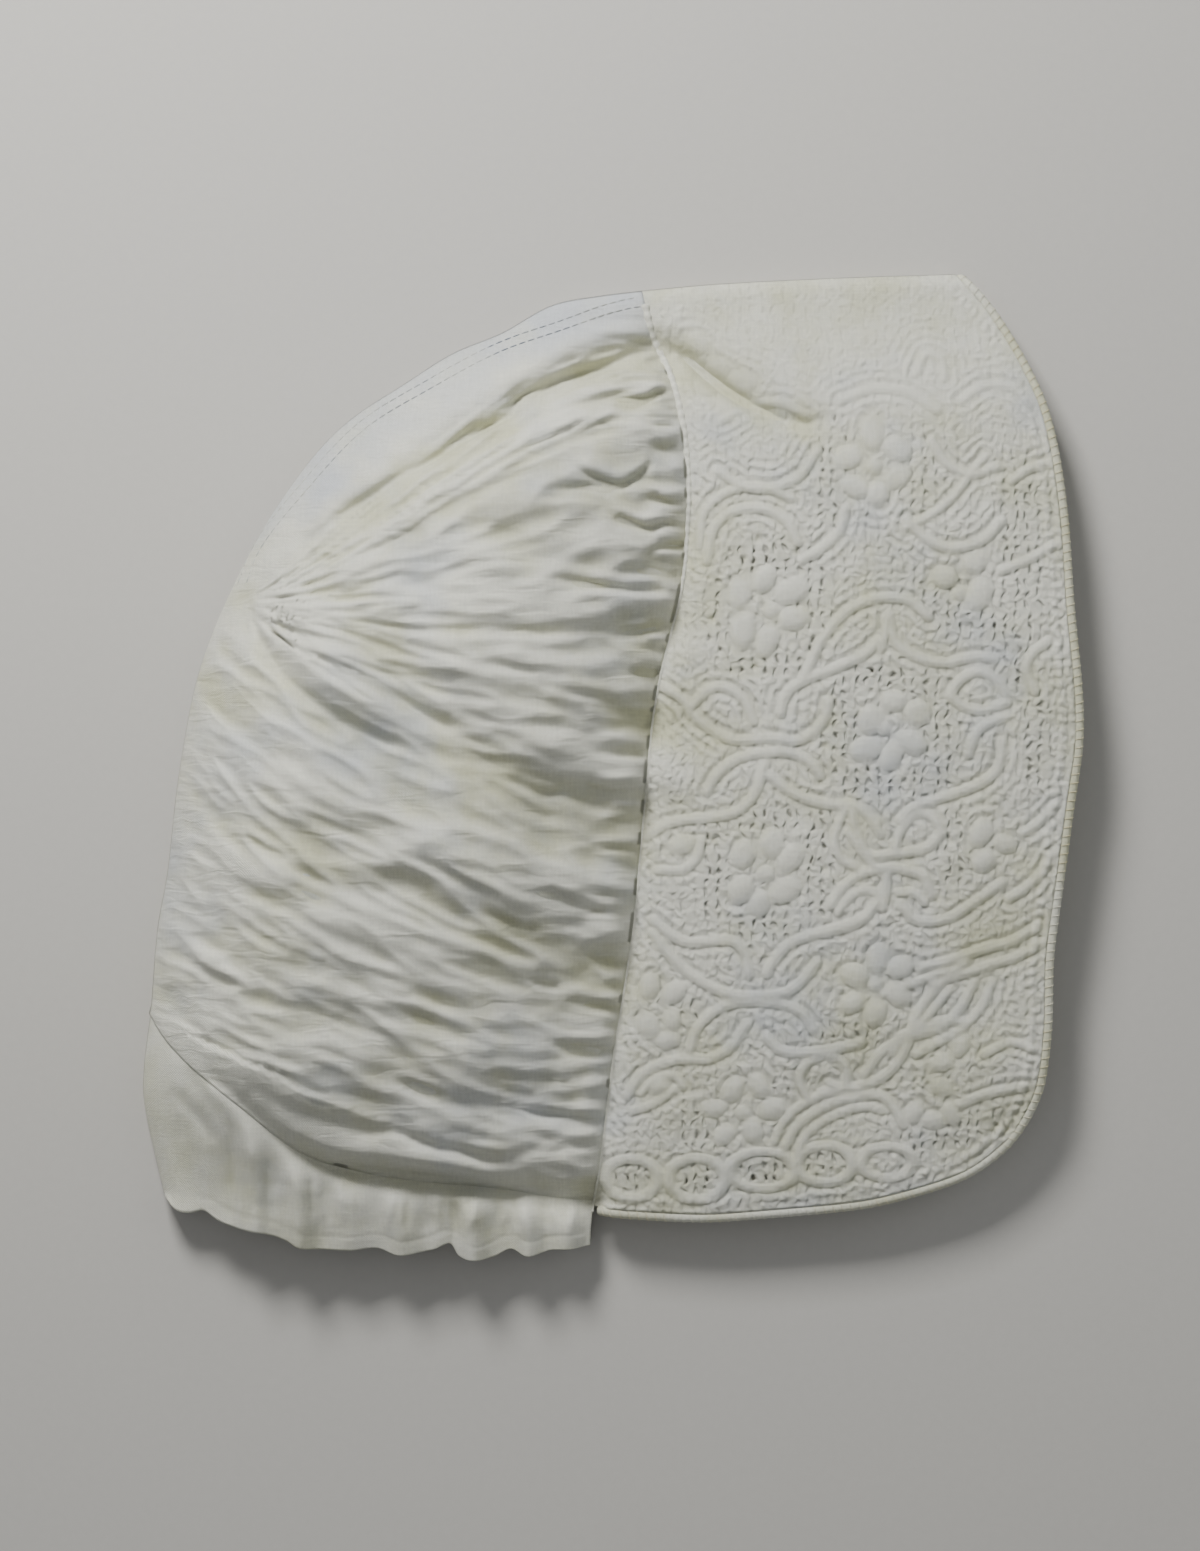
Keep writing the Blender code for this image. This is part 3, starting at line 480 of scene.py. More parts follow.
GATHER_LENGTHS = (0.008, 0.024)
GATHER_HALF_WIDTHS = (0.0006, 0.0014)
GATHER_WOBBLE = 0.0008
GATHER_FIRST, GATHER_FAN = 8, 100  # degrees
GATHER_STRAY = (-0.25, 0.25)  # shares of the turn from gather to gather
GATHER_CLEAR = 0.001  # how far from the whorl a gather begins
GATHER_STEPS = 14
GATHER_FULL = 0.0014  # half width of a gather of full height
FOLD_STEPS = 12  # points along a pleat or a pucker
# How deep a point lies among the folds, for the painted shade laid in their hollows.
HOLLOW_SHADE_LEVEL = 0.42
HOLLOW_SHADE_RANGE = 0.0034  # metres from a ridge to a valley

# The casing's puckers and the stitches above its hem.
PUCKERS = 60
PUCKER_RISE = 0.0003
PUCKER_PLACES = (0.02, 0.48)  # shares of the cap's length
PUCKER_STARTS = (0, 0.3)  # shares of the casing's depth
PUCKER_LENGTHS = (0.3, 0.9)
PUCKER_LEANS = (-0.002, 0.002)
PUCKER_CLEAR = 0.004  # how far from the hem's lowest line they stay
PUCKER_HALF_WIDTHS = (0.0007, 0.0015)
PUCKER_WOBBLE = 0.0006
HEM_FOLD = 0.0032  # how deep the hem is turned up
HEM_STITCH_DEPTH = 0.00012
HEM_STITCH_HALF_WIDTH = 0.0006

# Long hollows between narrow crests, which follow the crown's folds: how high, and how long and
# broad on the cloth, in metres.
Crumple = namedtuple("Crumple", "rise long broad")

CRUMPLES = [Crumple(0.0028, 0.026, 0.0090), Crumple(0.0024, 0.013, 0.0044)]
CRUMPLE_SEED, CRUMPLE_SEED_STEP = 3.7, 5
WAVES_KEPT = 0.56  # how much of the model's waves show, beside the finer hollows
STREAM_LINES = 300
STREAM_FIRST = -0.26  # the line nearest the top crease
STREAM_LAST = 1.06  # the line nearest the casing
STREAM_STEPS = 150
STREAM_WIDTH = 0.173  # how far apart the first and the last line reach the seam
STREAM_REACH = 0.010  # how far past those lines the hollows fade out
STREAM_NEIGHBOURS = 8  # places that each point's own place is read from
STREAM_BLUR = 0.0004  # added to their distances, so that none of them counts alone
CREST_LEVEL = 0.35  # how high a crest stands, as a share of the rise
CREST_ROUND = 0.003  # how blunt it is
WHORL_CALM = 0.012  # how far from the whorl the hollows take to begin
FAN_SHARE = 0.4  # the lines up to here leave from the whorl, the others from the back fold
FAN_WAY, FAN_TURN = -4, -120  # degrees, and degrees for a whole share
BACK_WAY, BACK_TURN = -52, 38
LEAVE_PULL = 0.7  # how long each line keeps the way it leaves in
LEAVE_PULL_LOST = 0.25  # how much of that is lost down the back
ARRIVE_PULL = 0.8
ARRIVE_WAY = -0.06  # radians
SEAM_REACH_TOP = 0.84  # where the whorl's first line reaches the seam, up the cap
SEAM_REACH_FALL = 0.74
SEAM_REACH_POWER = 0.75
SEAM_REACH_RISE = 0.36

# Narrow folds that may run over more than one piece: rise in metres, half width in squares and
# route on the chart.
Crease = namedtuple("Crease", "rise half_width route")

CREASES = [
    # The sharp crease under the strip along the top fold, and its lower lip.
    Crease(-0.0030, 6, [(655, 344), (632, 352), (605, 364), (584, 370), (557, 380), (536, 389),
                        (518, 400), (509, 419), (479, 433), (455, 448), (437, 460), (380, 494),
                        (335, 524), (300, 554)]),
    Crease(0.0012, 9, [(640, 364), (596, 382), (548, 398), (524, 420), (490, 442), (446, 472),
                       (390, 506), (344, 536)]),
    # The valley at the casing, and the folds above it.
    Crease(-0.0016, 8, [(208, 1059), (236, 1087), (261, 1112), (286, 1134), (317, 1156),
                        (349, 1168), (399, 1171), (442, 1177), (467, 1185), (530, 1188)]),
    Crease(-0.0020, 8, [(250, 1076), (264, 1084), (286, 1096), (317, 1109), (364, 1123),
                        (396, 1123), (427, 1137), (471, 1146), (505, 1154), (533, 1143),
                        (574, 1128)]),
    Crease(0.0020, 9, [(270, 1106), (300, 1126), (334, 1142), (380, 1148), (430, 1156),
                       (480, 1166), (530, 1168)]),
    Crease(-0.0016, 7, [(452, 1094), (467, 1096), (505, 1098), (542, 1107), (586, 1109)]),
    Crease(0.0009, 9, [(180, 1050), (206, 1074), (232, 1104), (250, 1136)]),
    Crease(-0.0009, 8, [(170, 1086), (196, 1110), (214, 1140)]),
    Crease(0.0012, 7, [(514, 1193), (550, 1196), (586, 1196)]),
    Crease(0.0009, 8, [(420, 1190), (452, 1194), (480, 1200)]),
    # Crests and hollows round the whorl.
    Crease(-0.0014, 7, [(250, 606), (268, 640), (292, 672), (326, 704), (368, 734), (410, 752)]),
    Crease(-0.0014, 8, [(306, 596), (344, 628), (378, 664), (412, 700), (452, 730), (500, 744)]),
    Crease(0.0009, 7, [(262, 620), (300, 652), (342, 684), (386, 714), (440, 740)]),
    Crease(0.0008, 8, [(246, 822), (300, 846), (350, 862), (404, 862), (440, 876)]),
    Crease(-0.0012, 9, [(240, 830), (290, 850), (330, 878), (380, 890), (410, 884)]),
    Crease(-0.0011, 7, [(452, 846), (500, 866), (540, 878), (576, 896), (610, 906), (636, 912)]),
    Crease(0.0009, 7, [(400, 834), (450, 840), (500, 858), (540, 868)]),
    Crease(-0.0010, 7, [(510, 974), (556, 978), (600, 970), (622, 960)]),
    Crease(0.0008, 7, [(440, 1006), (490, 1014), (540, 1012), (570, 992)]),
]

# Soft round pads and dents of the crown below the top crease.
Bulge = namedtuple("Bulge", "rise x y long wide turn")

BULGES = [
    Bulge(0.0020, 618, 450, 32, 28, 0), Bulge(0.0009, 560, 428, 30, 20, 20),
    Bulge(0.0010, 590, 506, 32, 15, -8), Bulge(0.0009, 540, 470, 26, 18, 10),
    Bulge(0.0009, 626, 556, 34, 13, 4), Bulge(0.0009, 600, 606, 42, 14, 4),
    Bulge(0.0010, 470, 446, 30, 16, 30), Bulge(0.0009, 430, 500, 34, 14, 34),
    Bulge(0.0009, 384, 540, 34, 12, 34), Bulge(0.0009, 500, 500, 26, 18, 10),
    Bulge(-0.0008, 560, 560, 30, 12, -10), Bulge(-0.0008, 512, 545, 30, 14, -30),
    Bulge(-0.0007, 470, 500, 26, 16, 20), Bulge(-0.0007, 424, 590, 44, 12, -38),
    Bulge(-0.0007, 342, 596, 26, 12, -50), Bulge(0.0008, 460, 640, 34, 24, -10),
    Bulge(-0.0008, 372, 790, 36, 20, -30), Bulge(-0.0008, 360, 836, 34, 18, 0),
    Bulge(-0.0008, 560, 830, 40, 20, 0), Bulge(0.0007, 540, 744, 44, 16, -6),
    Bulge(-0.0007, 500, 630, 34, 14, -20), Bulge(-0.0007, 520, 690, 40, 12, -10),
]

# Cracks in the crown where its pleats are pinched at the seam: route on the chart, depth in
# metres and half width in squares.
Pinch = namedtuple("Pinch", "depth half_width route")

PINCHES = [
    Pinch(0.0022, 4, [(614, 406), (620, 401), (647, 398), (656, 392), (668, 385)]),
    Pinch(0.0022, 4, [(652, 428), (660, 424), (685, 425)]),
    Pinch(0.0018, 4, [(648, 443), (659, 445), (679, 443)]),
    Pinch(0.0022, 4, [(651, 448), (648, 466), (641, 473), (620, 487), (593, 480), (574, 470)]),
    Pinch(0.0026, 4, [(646, 494), (665, 502), (685, 501)]),
    Pinch(0.0030, 4.5, [(606, 515), (626, 523), (647, 528), (662, 524), (687, 523)]),
    Pinch(0.0022, 4, [(644, 556), (659, 547), (687, 544)]),
    Pinch(0.0013, 4, [(556, 493), (590, 490), (620, 497)]),
    Pinch(0.0020, 5, [(540, 584), (560, 581), (584, 585), (620, 589), (677, 590)]),
    Pinch(0.0026, 5, [(605, 637), (628, 633), (652, 628), (671, 622)]),
    Pinch(0.0014, 4, [(626, 670), (646, 672), (664, 672)]),
    Pinch(0.0016, 5, [(535, 682), (552, 688), (600, 696), (640, 700)]),
    Pinch(0.0014, 4, [(560, 728), (596, 731), (622, 728)]),
    Pinch(0.0015, 5, [(490, 770), (540, 790), (572, 792), (612, 806), (646, 808)]),
    Pinch(0.0016, 5, [(520, 882), (560, 892), (590, 906), (634, 912)]),
    Pinch(0.0013, 4, [(540, 1108), (580, 1113), (606, 1115)]),
]
# The crest beside each crack, in the crack's half widths and depth.
CREST_BESIDE, CREST_WIDTH, CREST_RISE = 1.6, 1.4, 0.45

# Where the top of the brim folds over itself: padded places beside a deep narrow crease.
BRIM_FOLD = [(664, 343), (684, 352), (704, 370), (730, 391), (762, 410), (800, 422), (836, 418)]
BRIM_FOLD_DEPTHS = [0.0008, 0.0028, 0.0033, 0.0031, 0.0024, 0.0012, 0]
BRIM_FOLD_WIDTH = 6.5  # squares
PADS = [
    Petal(697, 340, 13, 10, -30), Petal(718, 366, 12, 10, -35), Petal(742, 380, 15, 11, -25),
    Petal(686, 368, 12, 10, -20), Petal(706, 384, 11, 9, -30), Petal(726, 402, 11, 9, -20),
]

# Twin lines of stitches below the centre-top fold.
TOP_STITCHES = [
    (640, 297), (629, 299), (600, 307), (559, 323), (498, 344), (431, 380), (362, 422),
    (304, 483), (256, 541), (240, 582),
]
TOP_STITCH_STEPS = 300
TOP_STITCH_SPREAD = 10  # squares between the two lines
STITCH_STEP = 0.0022
STITCH_LENGTH = 0.0020
STITCH_THICKNESS = 0.00042

# The cloth's map: tenths of a metre, the lower layer this many metres to one side.
MAP_SCALE = 10
LOWER_MAP_SHIFT = 0.3

# Painted shade, bluish grey: a strip this wide along the back fold, from the whorl up.
FOLD_SHADE_REACH = 0.016
FOLD_SHADE_FADE = 0.008
FOLD_SHADE_RISE = 0.02

# The whipped edge and the whipped seam.
BINDING_STEP = 0.0006
BINDING_SPACING = 0.004  # how far apart its height is taken from the brim
ROLL_WAIST, ROLL_NIP = 0.96, 0.02  # shares of the roll's radius
THREAD_STEPS = 5  # points of the thread to each point of the roll
THREAD_SUNK = 0.1  # how deep it lies in the roll, in its own thickness
WHIP_STEP = 0.0021
WHIP_THREAD = 0.00026
SEAM_ROLL_TOP = 0.00095  # radius of the whipped ridge at the top of the seam
SEAM_ROLL_FOOT = 0.00030
SEAM_STEPS = 520
SEAM_SWELL, SEAM_SWELL_RUN = 0.60, 0.25  # where the ridge swells, as shares of the seam
SEAM_RUN = 0.20  # the seam's length, near enough for its whipping
SEAM_NIP = 0.12
SEAM_SUNK = 0.2  # how deep the ridge lies in the cloth, in its own radius

SEED = 1790


def place(share):
    """A place in metres from its shares of the cap's length and height."""
    along, up = share
    return np.array([along * CAP_LENGTH, up * CAP_HEIGHT])


def smooth_line(shares, count):
    """Evenly spaced points on a smooth curve through the places of a table."""
    knots = np.array([place(share) for share in shares])
    before = 2 * knots[0] - knots[1]
    after = 2 * knots[-1] - knots[-2]
    padded = np.vstack([before, knots, after])
    steps = np.linspace(0, 1, CURVE_STEPS, endpoint=False)[:, None]
    pieces = []
    for i in range(1, len(padded) - 2):
        a, b, c, d = padded[i - 1 : i + 3]
        pieces.append(
            0.5
            * (
                2 * b
                + (c - a) * steps
                + (2 * a - 5 * b + 4 * c - d) * steps**2
                + (3 * b - a - 3 * c + d) * steps**3
            )
        )
    dense = np.vstack(pieces + [knots[-1:]])
    return along_line(dense, np.linspace(0, 1, count))


def along_line(points, shares):
    """Points at the given shares of a line's length."""
    lengths = np.linalg.norm(np.diff(points, axis=0), axis=1)
    walked = np.concatenate([[0], np.cumsum(lengths)])
    targets = np.asarray(shares) * walked[-1]
    columns = [np.interp(targets, walked, points[:, k]) for k in range(points.shape[1])]
    return np.stack(columns, axis=-1)


def nearest(points, line):
    """Distance from each point to a line, and the share of the line's length it falls at."""
    starts = line[:-1]
    runs = line[1:] - starts
    squares = np.maximum((runs**2).sum(axis=1), 1e-16)
    lengths = np.sqrt(squares)
    walked = np.concatenate([[0], np.cumsum(lengths)])
    distances, found = np.empty(len(points)), np.empty(len(points))
    for first in range(0, len(points), CHUNK):
        part = slice(first, first + CHUNK)
        x = points[part, :1] - starts[:, 0]
        y = points[part, 1:2] - starts[:, 1]
        shares = np.clip((x * runs[:, 0] + y * runs[:, 1]) / squares, 0, 1)
        x -= shares * runs[:, 0]
        y -= shares * runs[:, 1]
        away = x * x + y * y
        best = away.argmin(axis=1)
        rows = np.arange(len(best))
        distances[part] = np.sqrt(away[rows, best])
        found[part] = (walked[best] + shares[rows, best] * lengths[best]) / walked[-1]
    return distances, found


TOP_LINE = smooth_line(TOP_FOLD, LINE_STEPS)
FOLD_LINE = np.vstack([smooth_line(BACK_FOLD, 2 * LINE_STEPS), TOP_LINE[1:]])
SEAM_LINE = smooth_line(SEAM, LINE_STEPS)
FACE_LINE = smooth_line(FACE_EDGE, LINE_STEPS)
JAW_LINE = smooth_line(JAW_EDGE, LINE_STEPS)
CREASE_LINE = smooth_line(CREASE, LINE_STEPS)


def close_to(points, line, reach):
    """Which points lie within a reach of a line's own box."""
    low, high = line.min(axis=0) - reach, line.max(axis=0) + reach
    return np.flatnonzero(((points > low) & (points < high)).all(axis=1))


def bump(distance, half_width):
    """A smooth ridge profile, 1 on its line and 0 from about two half widths away."""
    return np.exp(-((distance / half_width) ** 2))


def eased(values):
    """Values held between 0 and 1 and eased at both ends."""
    held = np.clip(values, 0, 1)
    return held * held * (3 - 2 * held)


def wave_height(points, wave):
    """What one ridge or valley adds to the upper layer."""
    line = smooth_line(wave.route, ROUTE_STEPS)
    half_width = wave.half_width * CAP_LENGTH
    height = np.zeros(len(points))
    at = close_to(points, line, WAVE_REACH * half_width)
    if len(at):
        distance, share = nearest(points[at], line)
        rise = np.interp(share, np.linspace(0, 1, len(wave.rises)), wave.rises)
        height[at] = CAP_LOFT * rise * bump(distance, half_width)
    return height


def crease_height(points):
    """What the narrow folds add to the upper layer, each fading at both its ends."""
    height = np.zeros(len(points))
    for crease in CREASES:
        line = chart_route(crease.route, 2 * ROUTE_STEPS)
        add_fold(height, points, line, crease.rise, crease.half_width * CHART_SQUARE)
    for bulge in BULGES:
        long, wide = bulge.long * CHART_SQUARE, bulge.wide * CHART_SQUARE
        centre = chart(bulge.x, bulge.y)
        at = close_to(points, centre[None], BUMP_REACH * max(long, wide))
        if len(at):
            height[at] += bulge.rise * bump(ovals(points[at], centre, long, wide, bulge.turn), 1)
    return height


def broad_height(points):
    """The upper layer's broad form: high in the crown, low at the seam, arched in the brim."""
    up = points[:, 1] / CAP_HEIGHT
    rows = [row.up for row in SECTIONS]
    crown, seam, belly, face = (
        CAP_LOFT * np.interp(up, rows, [getattr(row, field) for row in SECTIONS])
        for field in ("crown", "seam", "belly", "face")
    )
    seam_x = np.interp(points[:, 1], SEAM_LINE[:, 1], SEAM_LINE[:, 0])
    face_x = np.interp(points[:, 1], FACE_LINE[:, 1], FACE_LINE[:, 0])
    past_seam = points[:, 0] - seam_x
    into_crown = np.sin(0.5 * np.pi * np.clip(-past_seam / SEAM_SHOULDER, 0, 1))
    into_brim = np.clip(past_seam / (face_x - seam_x), 0, 1)
    on_crown = seam + (crown - seam) * into_crown
    arch = 4 * into_brim * (1 - into_brim)
    on_brim = seam + (face - seam) * into_brim + (belly - 0.5 * (seam + face)) * arch
    return np.where(past_seam < 0, on_crown, on_brim)


def turned(from_fold):
    """How far a layer has turned away from the fold's outermost line, a quarter of an ellipse."""
    return np.sqrt(1 - (1 - np.clip(from_fold / FOLD_ROUND, 0, 1)) ** 2)


def lower_height(points):
    """The lower layer: flat on the surface, turning up to the fold's outermost line."""
    from_fold, _ = nearest(points, FOLD_LINE)
    return FOLD_MIDDLE * FOLD_THICKNESS * (1 - turned(from_fold))


def upper_height(points, wall):
    """Height of the upper layer's outer face, down to the fold's outermost line."""
    from_fold, _ = nearest(points, FOLD_LINE)
    rising = np.sin(0.5 * np.pi * np.clip(from_fold / SHOULDER, 0, 1))
    height = FOLD_THICKNESS + (broad_height(points) - FOLD_THICKNESS) * rising
    inside = eased(from_fold / FOLD_CALM)
    waves = WAVES_KEPT * sum(wave_height(points, wave) for wave in WAVES)
    from_crease, share = nearest(points, CREASE_LINE)
    deep = CREASE_LEAST + (1 - CREASE_LEAST) * eased((share - CREASE_FROM) / CREASE_WITHIN)
    waves -= CAP_LOFT * CREASE_DEPTH * deep * bump(from_crease, CREASE_HALF_WIDTH * CAP_LENGTH)
    from_seam, _ = nearest(points, SEAM_LINE)
    waves -= CAP_LOFT * SEAM_DEPTH * bump(from_seam, SEAM_HALF_WIDTH * CAP_LENGTH)
    waves += crease_height(points)
    least = np.minimum(height, 2 * wall + LEAST_SPACE)
    height = np.maximum(height + waves * inside, least)
    middle = FOLD_MIDDLE * FOLD_THICKNESS
    return middle + (height - middle) * turned(from_fold)


def graded(cells, packing):
    """Shares from 0 to 1 between cells, which are packed closer near 0."""
    even = np.linspace(0, 1, cells + 1)
    return packing * even + (1 - packing) * even**GRADING


def patch(bottom, top, left, right, across, up):
    """Plan points of a sheet between four edge lines, which share their corners."""
    low, high = along_line(bottom, across), along_line(top, across)
    start, end = along_line(left, up), along_line(right, up)
    u, v = across[:, None], up[:, None]
    grid = (1 - v)[None] * low[:, None] + v[None] * high[:, None]
    grid = grid + (1 - u)[:, None] * start[None] + u[:, None] * end[None]
    corners = (1 - u)[:, None] * ((1 - v)[None] * low[0] + v[None] * high[0])
    corners = corners + u[:, None] * ((1 - v)[None] * low[-1] + v[None] * high[-1])
    return grid - corners


def shifted(line, distance):
    """A line moved sideways, to its right as it runs, by a distance."""
    runs = np.gradient(line, axis=0)
    runs /= np.linalg.norm(runs, axis=1)[:, None]
    return line + distance * np.stack([runs[:, 1], -runs[:, 0]], axis=1)


def cut_line(line, point, keep_end):
    """The stretch of a line past, or up to, the place nearest a point."""
    _, share = nearest(point[None], line)
    first, last = (share[0], 1) if keep_end else (0, share[0])
    return along_line(line, np.linspace(first, last, LINE_STEPS))


def until_near(line, other, distance):
    """The stretch of a line up to where it comes within a distance of another line."""
    shares = np.linspace(0, 1, FINE_STEPS)
    away, _ = nearest(along_line(line, shares), other)
    last = shares[np.flatnonzero(away < distance)[0]]
    return along_line(line, np.linspace(0, last, LINE_STEPS))


def chart(x, y):
    """A point of the whitework's chart, in metres."""
    return np.array([
        (x - CHART_LEFT) / CHART_WIDE * CAP_LENGTH,
        (CHART_FOOT - y) / CHART_HIGH * CAP_HEIGHT,
    ])


def chart_route(route, count):
    """Evenly spaced points on a smooth curve through points of the chart."""
    shares = [((x - CHART_LEFT) / CHART_WIDE, (CHART_FOOT - y) / CHART_HIGH) for x, y in route]
    return smooth_line(shares, count)


def domed(share):
    """The rounding of something stuffed, 1 at its middle and 0 from its edge on."""
    return np.sqrt(np.clip(1 - share**DOME_POWER, 0, 1))


def ovals(points, centre, long, wide, turn):
    """How far out of an oval each point is, 1 on its edge."""
    a = math.radians(turn)
    away = points - centre
    along = away[:, 0] * math.cos(a) + away[:, 1] * math.sin(a)
    across = away[:, 1] * math.cos(a) - away[:, 0] * math.sin(a)
    return np.hypot(along / long, across / wide)


def whitework(points):
    """The stuffed work at each point: its height, the distance out of it and the drawn ground."""
    height = np.zeros(len(points))
    out = np.full(len(points), WORK_REACH)
    for cord in CORDS:
        line = chart_route(cord.route, ROUTE_STEPS)
        at = close_to(points, line, WORK_REACH)
        if not len(at):
            continue
        half = 0.5 * cord.width * CHART_SQUARE
        distance, _ = nearest(points[at], line)
        height[at] = np.maximum(height[at], CORD_HEIGHT * domed(np.clip(distance / half, 0, 1)))
        out[at] = np.minimum(out[at], distance - half)
    for petal in PETALS + PADS:
        long, wide = (PETAL_SIZE * half * CHART_SQUARE for half in (petal.long, petal.wide))
        centre = chart(petal.x, petal.y)
        at = close_to(points, centre[None], WORK_REACH + long)
        if not len(at):
            continue
        share = ovals(points[at], centre, long, wide, petal.turn)
        rise = PETAL_HEIGHT * min(1, PETAL_KEPT + wide / PETAL_FULL)
        height[at] = np.maximum(height[at], rise * domed(np.clip(share, 0, 1)))
        out[at] = np.minimum(out[at], (share - 1) * wide)
    for ring in RINGS:
        long, wide = ring.wide * CHART_SQUARE, ring.high * CHART_SQUARE
        half = 0.5 * RING_WIDTH * CHART_SQUARE
        share = ovals(points, chart(ring.x, ring.y), long, wide, 0)
        distance = np.abs(share - 1) * 0.5 * (long + wide)
        height = np.maximum(height, CORD_HEIGHT * domed(np.clip(distance / half, 0, 1)))
        out = np.minimum(out, distance - half)
    drawn = np.zeros(len(points))
    for field in FIELDS:
        long, wide = field.wide * CHART_SQUARE, field.high * CHART_SQUARE
        share = ovals(points, chart(field.x, field.y), long, wide, 0)
        drawn = np.maximum(drawn, field.depth * eased((FIELD_EDGE - share) / FIELD_FADE))
    return height, out, drawn * eased(out / DRAWN_CLEAR)


def edge_band(points):
    """The beaded band and the stitch line beside the free edge."""
    relief = np.zeros(len(points))
    for line in (JAW_LINE, FACE_LINE):
        distance, share = nearest(points, line)
        length = np.linalg.norm(np.diff(line, axis=0), axis=1).sum()
        phase = 2 * np.pi * share * length / BEAD_STEP
        beads = 0.5 + 0.5 * np.cos(phase)
        relief += BEAD_HEIGHT * beads * bump(distance - BEAD_PLACE, BEAD_HALF_WIDTH)
        for row in BAND_STITCHES:
            row_valley = bump(distance - row, BAND_STITCH_HALF_WIDTH)
            relief -= BAND_STITCH_KEPT * STITCH_VALLEY * row_valley
    return relief


def lumpy(points, kinds):
    """Smooth random lumps, the sum of their kinds."""
    height = 0
    for rise, size, seed in kinds:
        lumps = [noise.noise(Vector((x / size, y / size, seed))) for x, y in points]
        height = height + rise * np.array(lumps)
    return height


def worn(points):
    """How much of the relief is left, less where the top of the brim is pressed flat."""
    row = chart(0, WORN_ABOVE)[1]
    below = row + 0.5 * WORN_FADE - points[:, 1]
    return WORN_KEEP + (1 - WORN_KEEP) * eased(below / WORN_FADE)


def brim_relief(points):
    """What the quilting adds to the brim's outer face."""
    stuffed, out, drawn = whitework(points)
    outside = np.maximum(out, 0)
    ground = ECHO_HEIGHT * np.cos(2 * np.pi * outside / ECHO_STEP)
    ground = ground * np.exp(-outside / ECHO_FADE) * (1 - drawn) * eased(outside / ECHO_CLEAR)
    relief = stuffed + ground + lumpy(points, BRIM_LUMPS) - DRAWN_DEPTH * drawn
    relief -= STITCH_VALLEY * bump(outside - STITCH_PLACE, STITCH_WIDTH)
    line = chart_route(BRIM_FOLD, ROUTE_STEPS)
    distance, share = nearest(points, line)
    depth = np.interp(share, np.linspace(0, 1, len(BRIM_FOLD_DEPTHS)), BRIM_FOLD_DEPTHS)
    crease = depth * bump(distance, BRIM_FOLD_WIDTH * CHART_SQUARE)
    for x, y, half in OPEN_HOLES:
        away = np.linalg.norm(points - chart(x, y), axis=1)
        relief -= HOLE_DEPTH * bump(away, half * CHART_SQUARE)
    return (relief + edge_band(points)) * worn(points) - crease


def streamline(share, steps):
    """One of the lines that the crown's folds follow, from the whorl or the back to the seam."""
    whorl = chart(*WHORL)
    if share < FAN_SHARE:
        start = whorl
        angle = math.radians(FAN_WAY + FAN_TURN * share)
        pull = LEAVE_PULL
    else:
        at = min(1, (share - FAN_SHARE) / (1 - FAN_SHARE))
        back = smooth_line(BACK_FOLD[CASING_END_ROW:WHORL_ROW], LINE_STEPS)
        start = along_line(np.vstack([back, whorl]), [1 - at])[0]
        angle = math.radians(BACK_WAY + BACK_TURN * at)
        pull = LEAVE_PULL - LEAVE_PULL_LOST * at
    fall = SEAM_REACH_FALL * share**SEAM_REACH_POWER if share > 0 else SEAM_REACH_RISE * share
    up = SEAM_REACH_TOP - fall
    end = np.array([np.interp(up * CAP_HEIGHT, SEAM_LINE[:, 1], SEAM_LINE[:, 0]), up * CAP_HEIGHT])
    span = np.linalg.norm(end - start)
    leave = span * pull * np.array([math.cos(angle), math.sin(angle)])
    arrive = span * ARRIVE_PULL * np.array([math.cos(ARRIVE_WAY), math.sin(ARRIVE_WAY)])
    t = np.linspace(0, 1, steps)[:, None]
    return (
        (2 * t**3 - 3 * t**2 + 1) * start
        + (t**3 - 2 * t**2 + t) * leave
        + (3 * t**2 - 2 * t**3) * end
        + (t**3 - t**2) * arrive
    )


def add_fold(relief, points, line, rise, half_width):
    """Adds one ridge or valley, which fades at both its ends."""
    at = close_to(points, line, BUMP_REACH * half_width)
    if len(at):
        distance, share = nearest(points[at], line)
        fading = np.sin(np.pi * share) ** FOLD_ENDS
        relief[at] += rise * fading * bump(distance, half_width)


def wobbled(line, chance, reach):
    """A line shaken a little sideways, so that no fold runs true."""
    shake = np.cumsum([chance.uniform(-1, 1) for _ in line])
    shake -= np.linspace(shake[0], shake[-1], len(line))
    shaken = np.stack([WOBBLE_ALONG * shake, shake], axis=1)
    return line + shaken * reach / max(1, len(line) ** 0.5)


def stream_places(points):
    """Each point's place along and across the crown's folds, and how far out of them it lies."""
    tree = kdtree.KDTree(STREAM_LINES * STREAM_STEPS)
    places = []
    for i in range(STREAM_LINES):
        share = STREAM_FIRST + (STREAM_LAST - STREAM_FIRST) * i / (STREAM_LINES - 1)
        line = streamline(share, STREAM_STEPS)
        walked = np.linalg.norm(np.diff(line, axis=0), axis=1).sum() / (STREAM_STEPS - 1)
        for j, (x, y) in enumerate(line):
            tree.insert((x, y, 0), len(places))
            places.append((j * walked, share * STREAM_WIDTH))
    tree.balance()
    places = np.array(places)
    found = np.empty((len(points), 2))
    out = np.empty(len(points))
    for k, (x, y) in enumerate(points):
        near = tree.find_n((x, y, 0), STREAM_NEIGHBOURS)
        weights = np.array([1 / (STREAM_BLUR + each[2]) ** 2 for each in near])
        found[k] = weights @ places[[each[1] for each in near]] / weights.sum()
        out[k] = near[0][2]
    return found[:, 0], found[:, 1], out


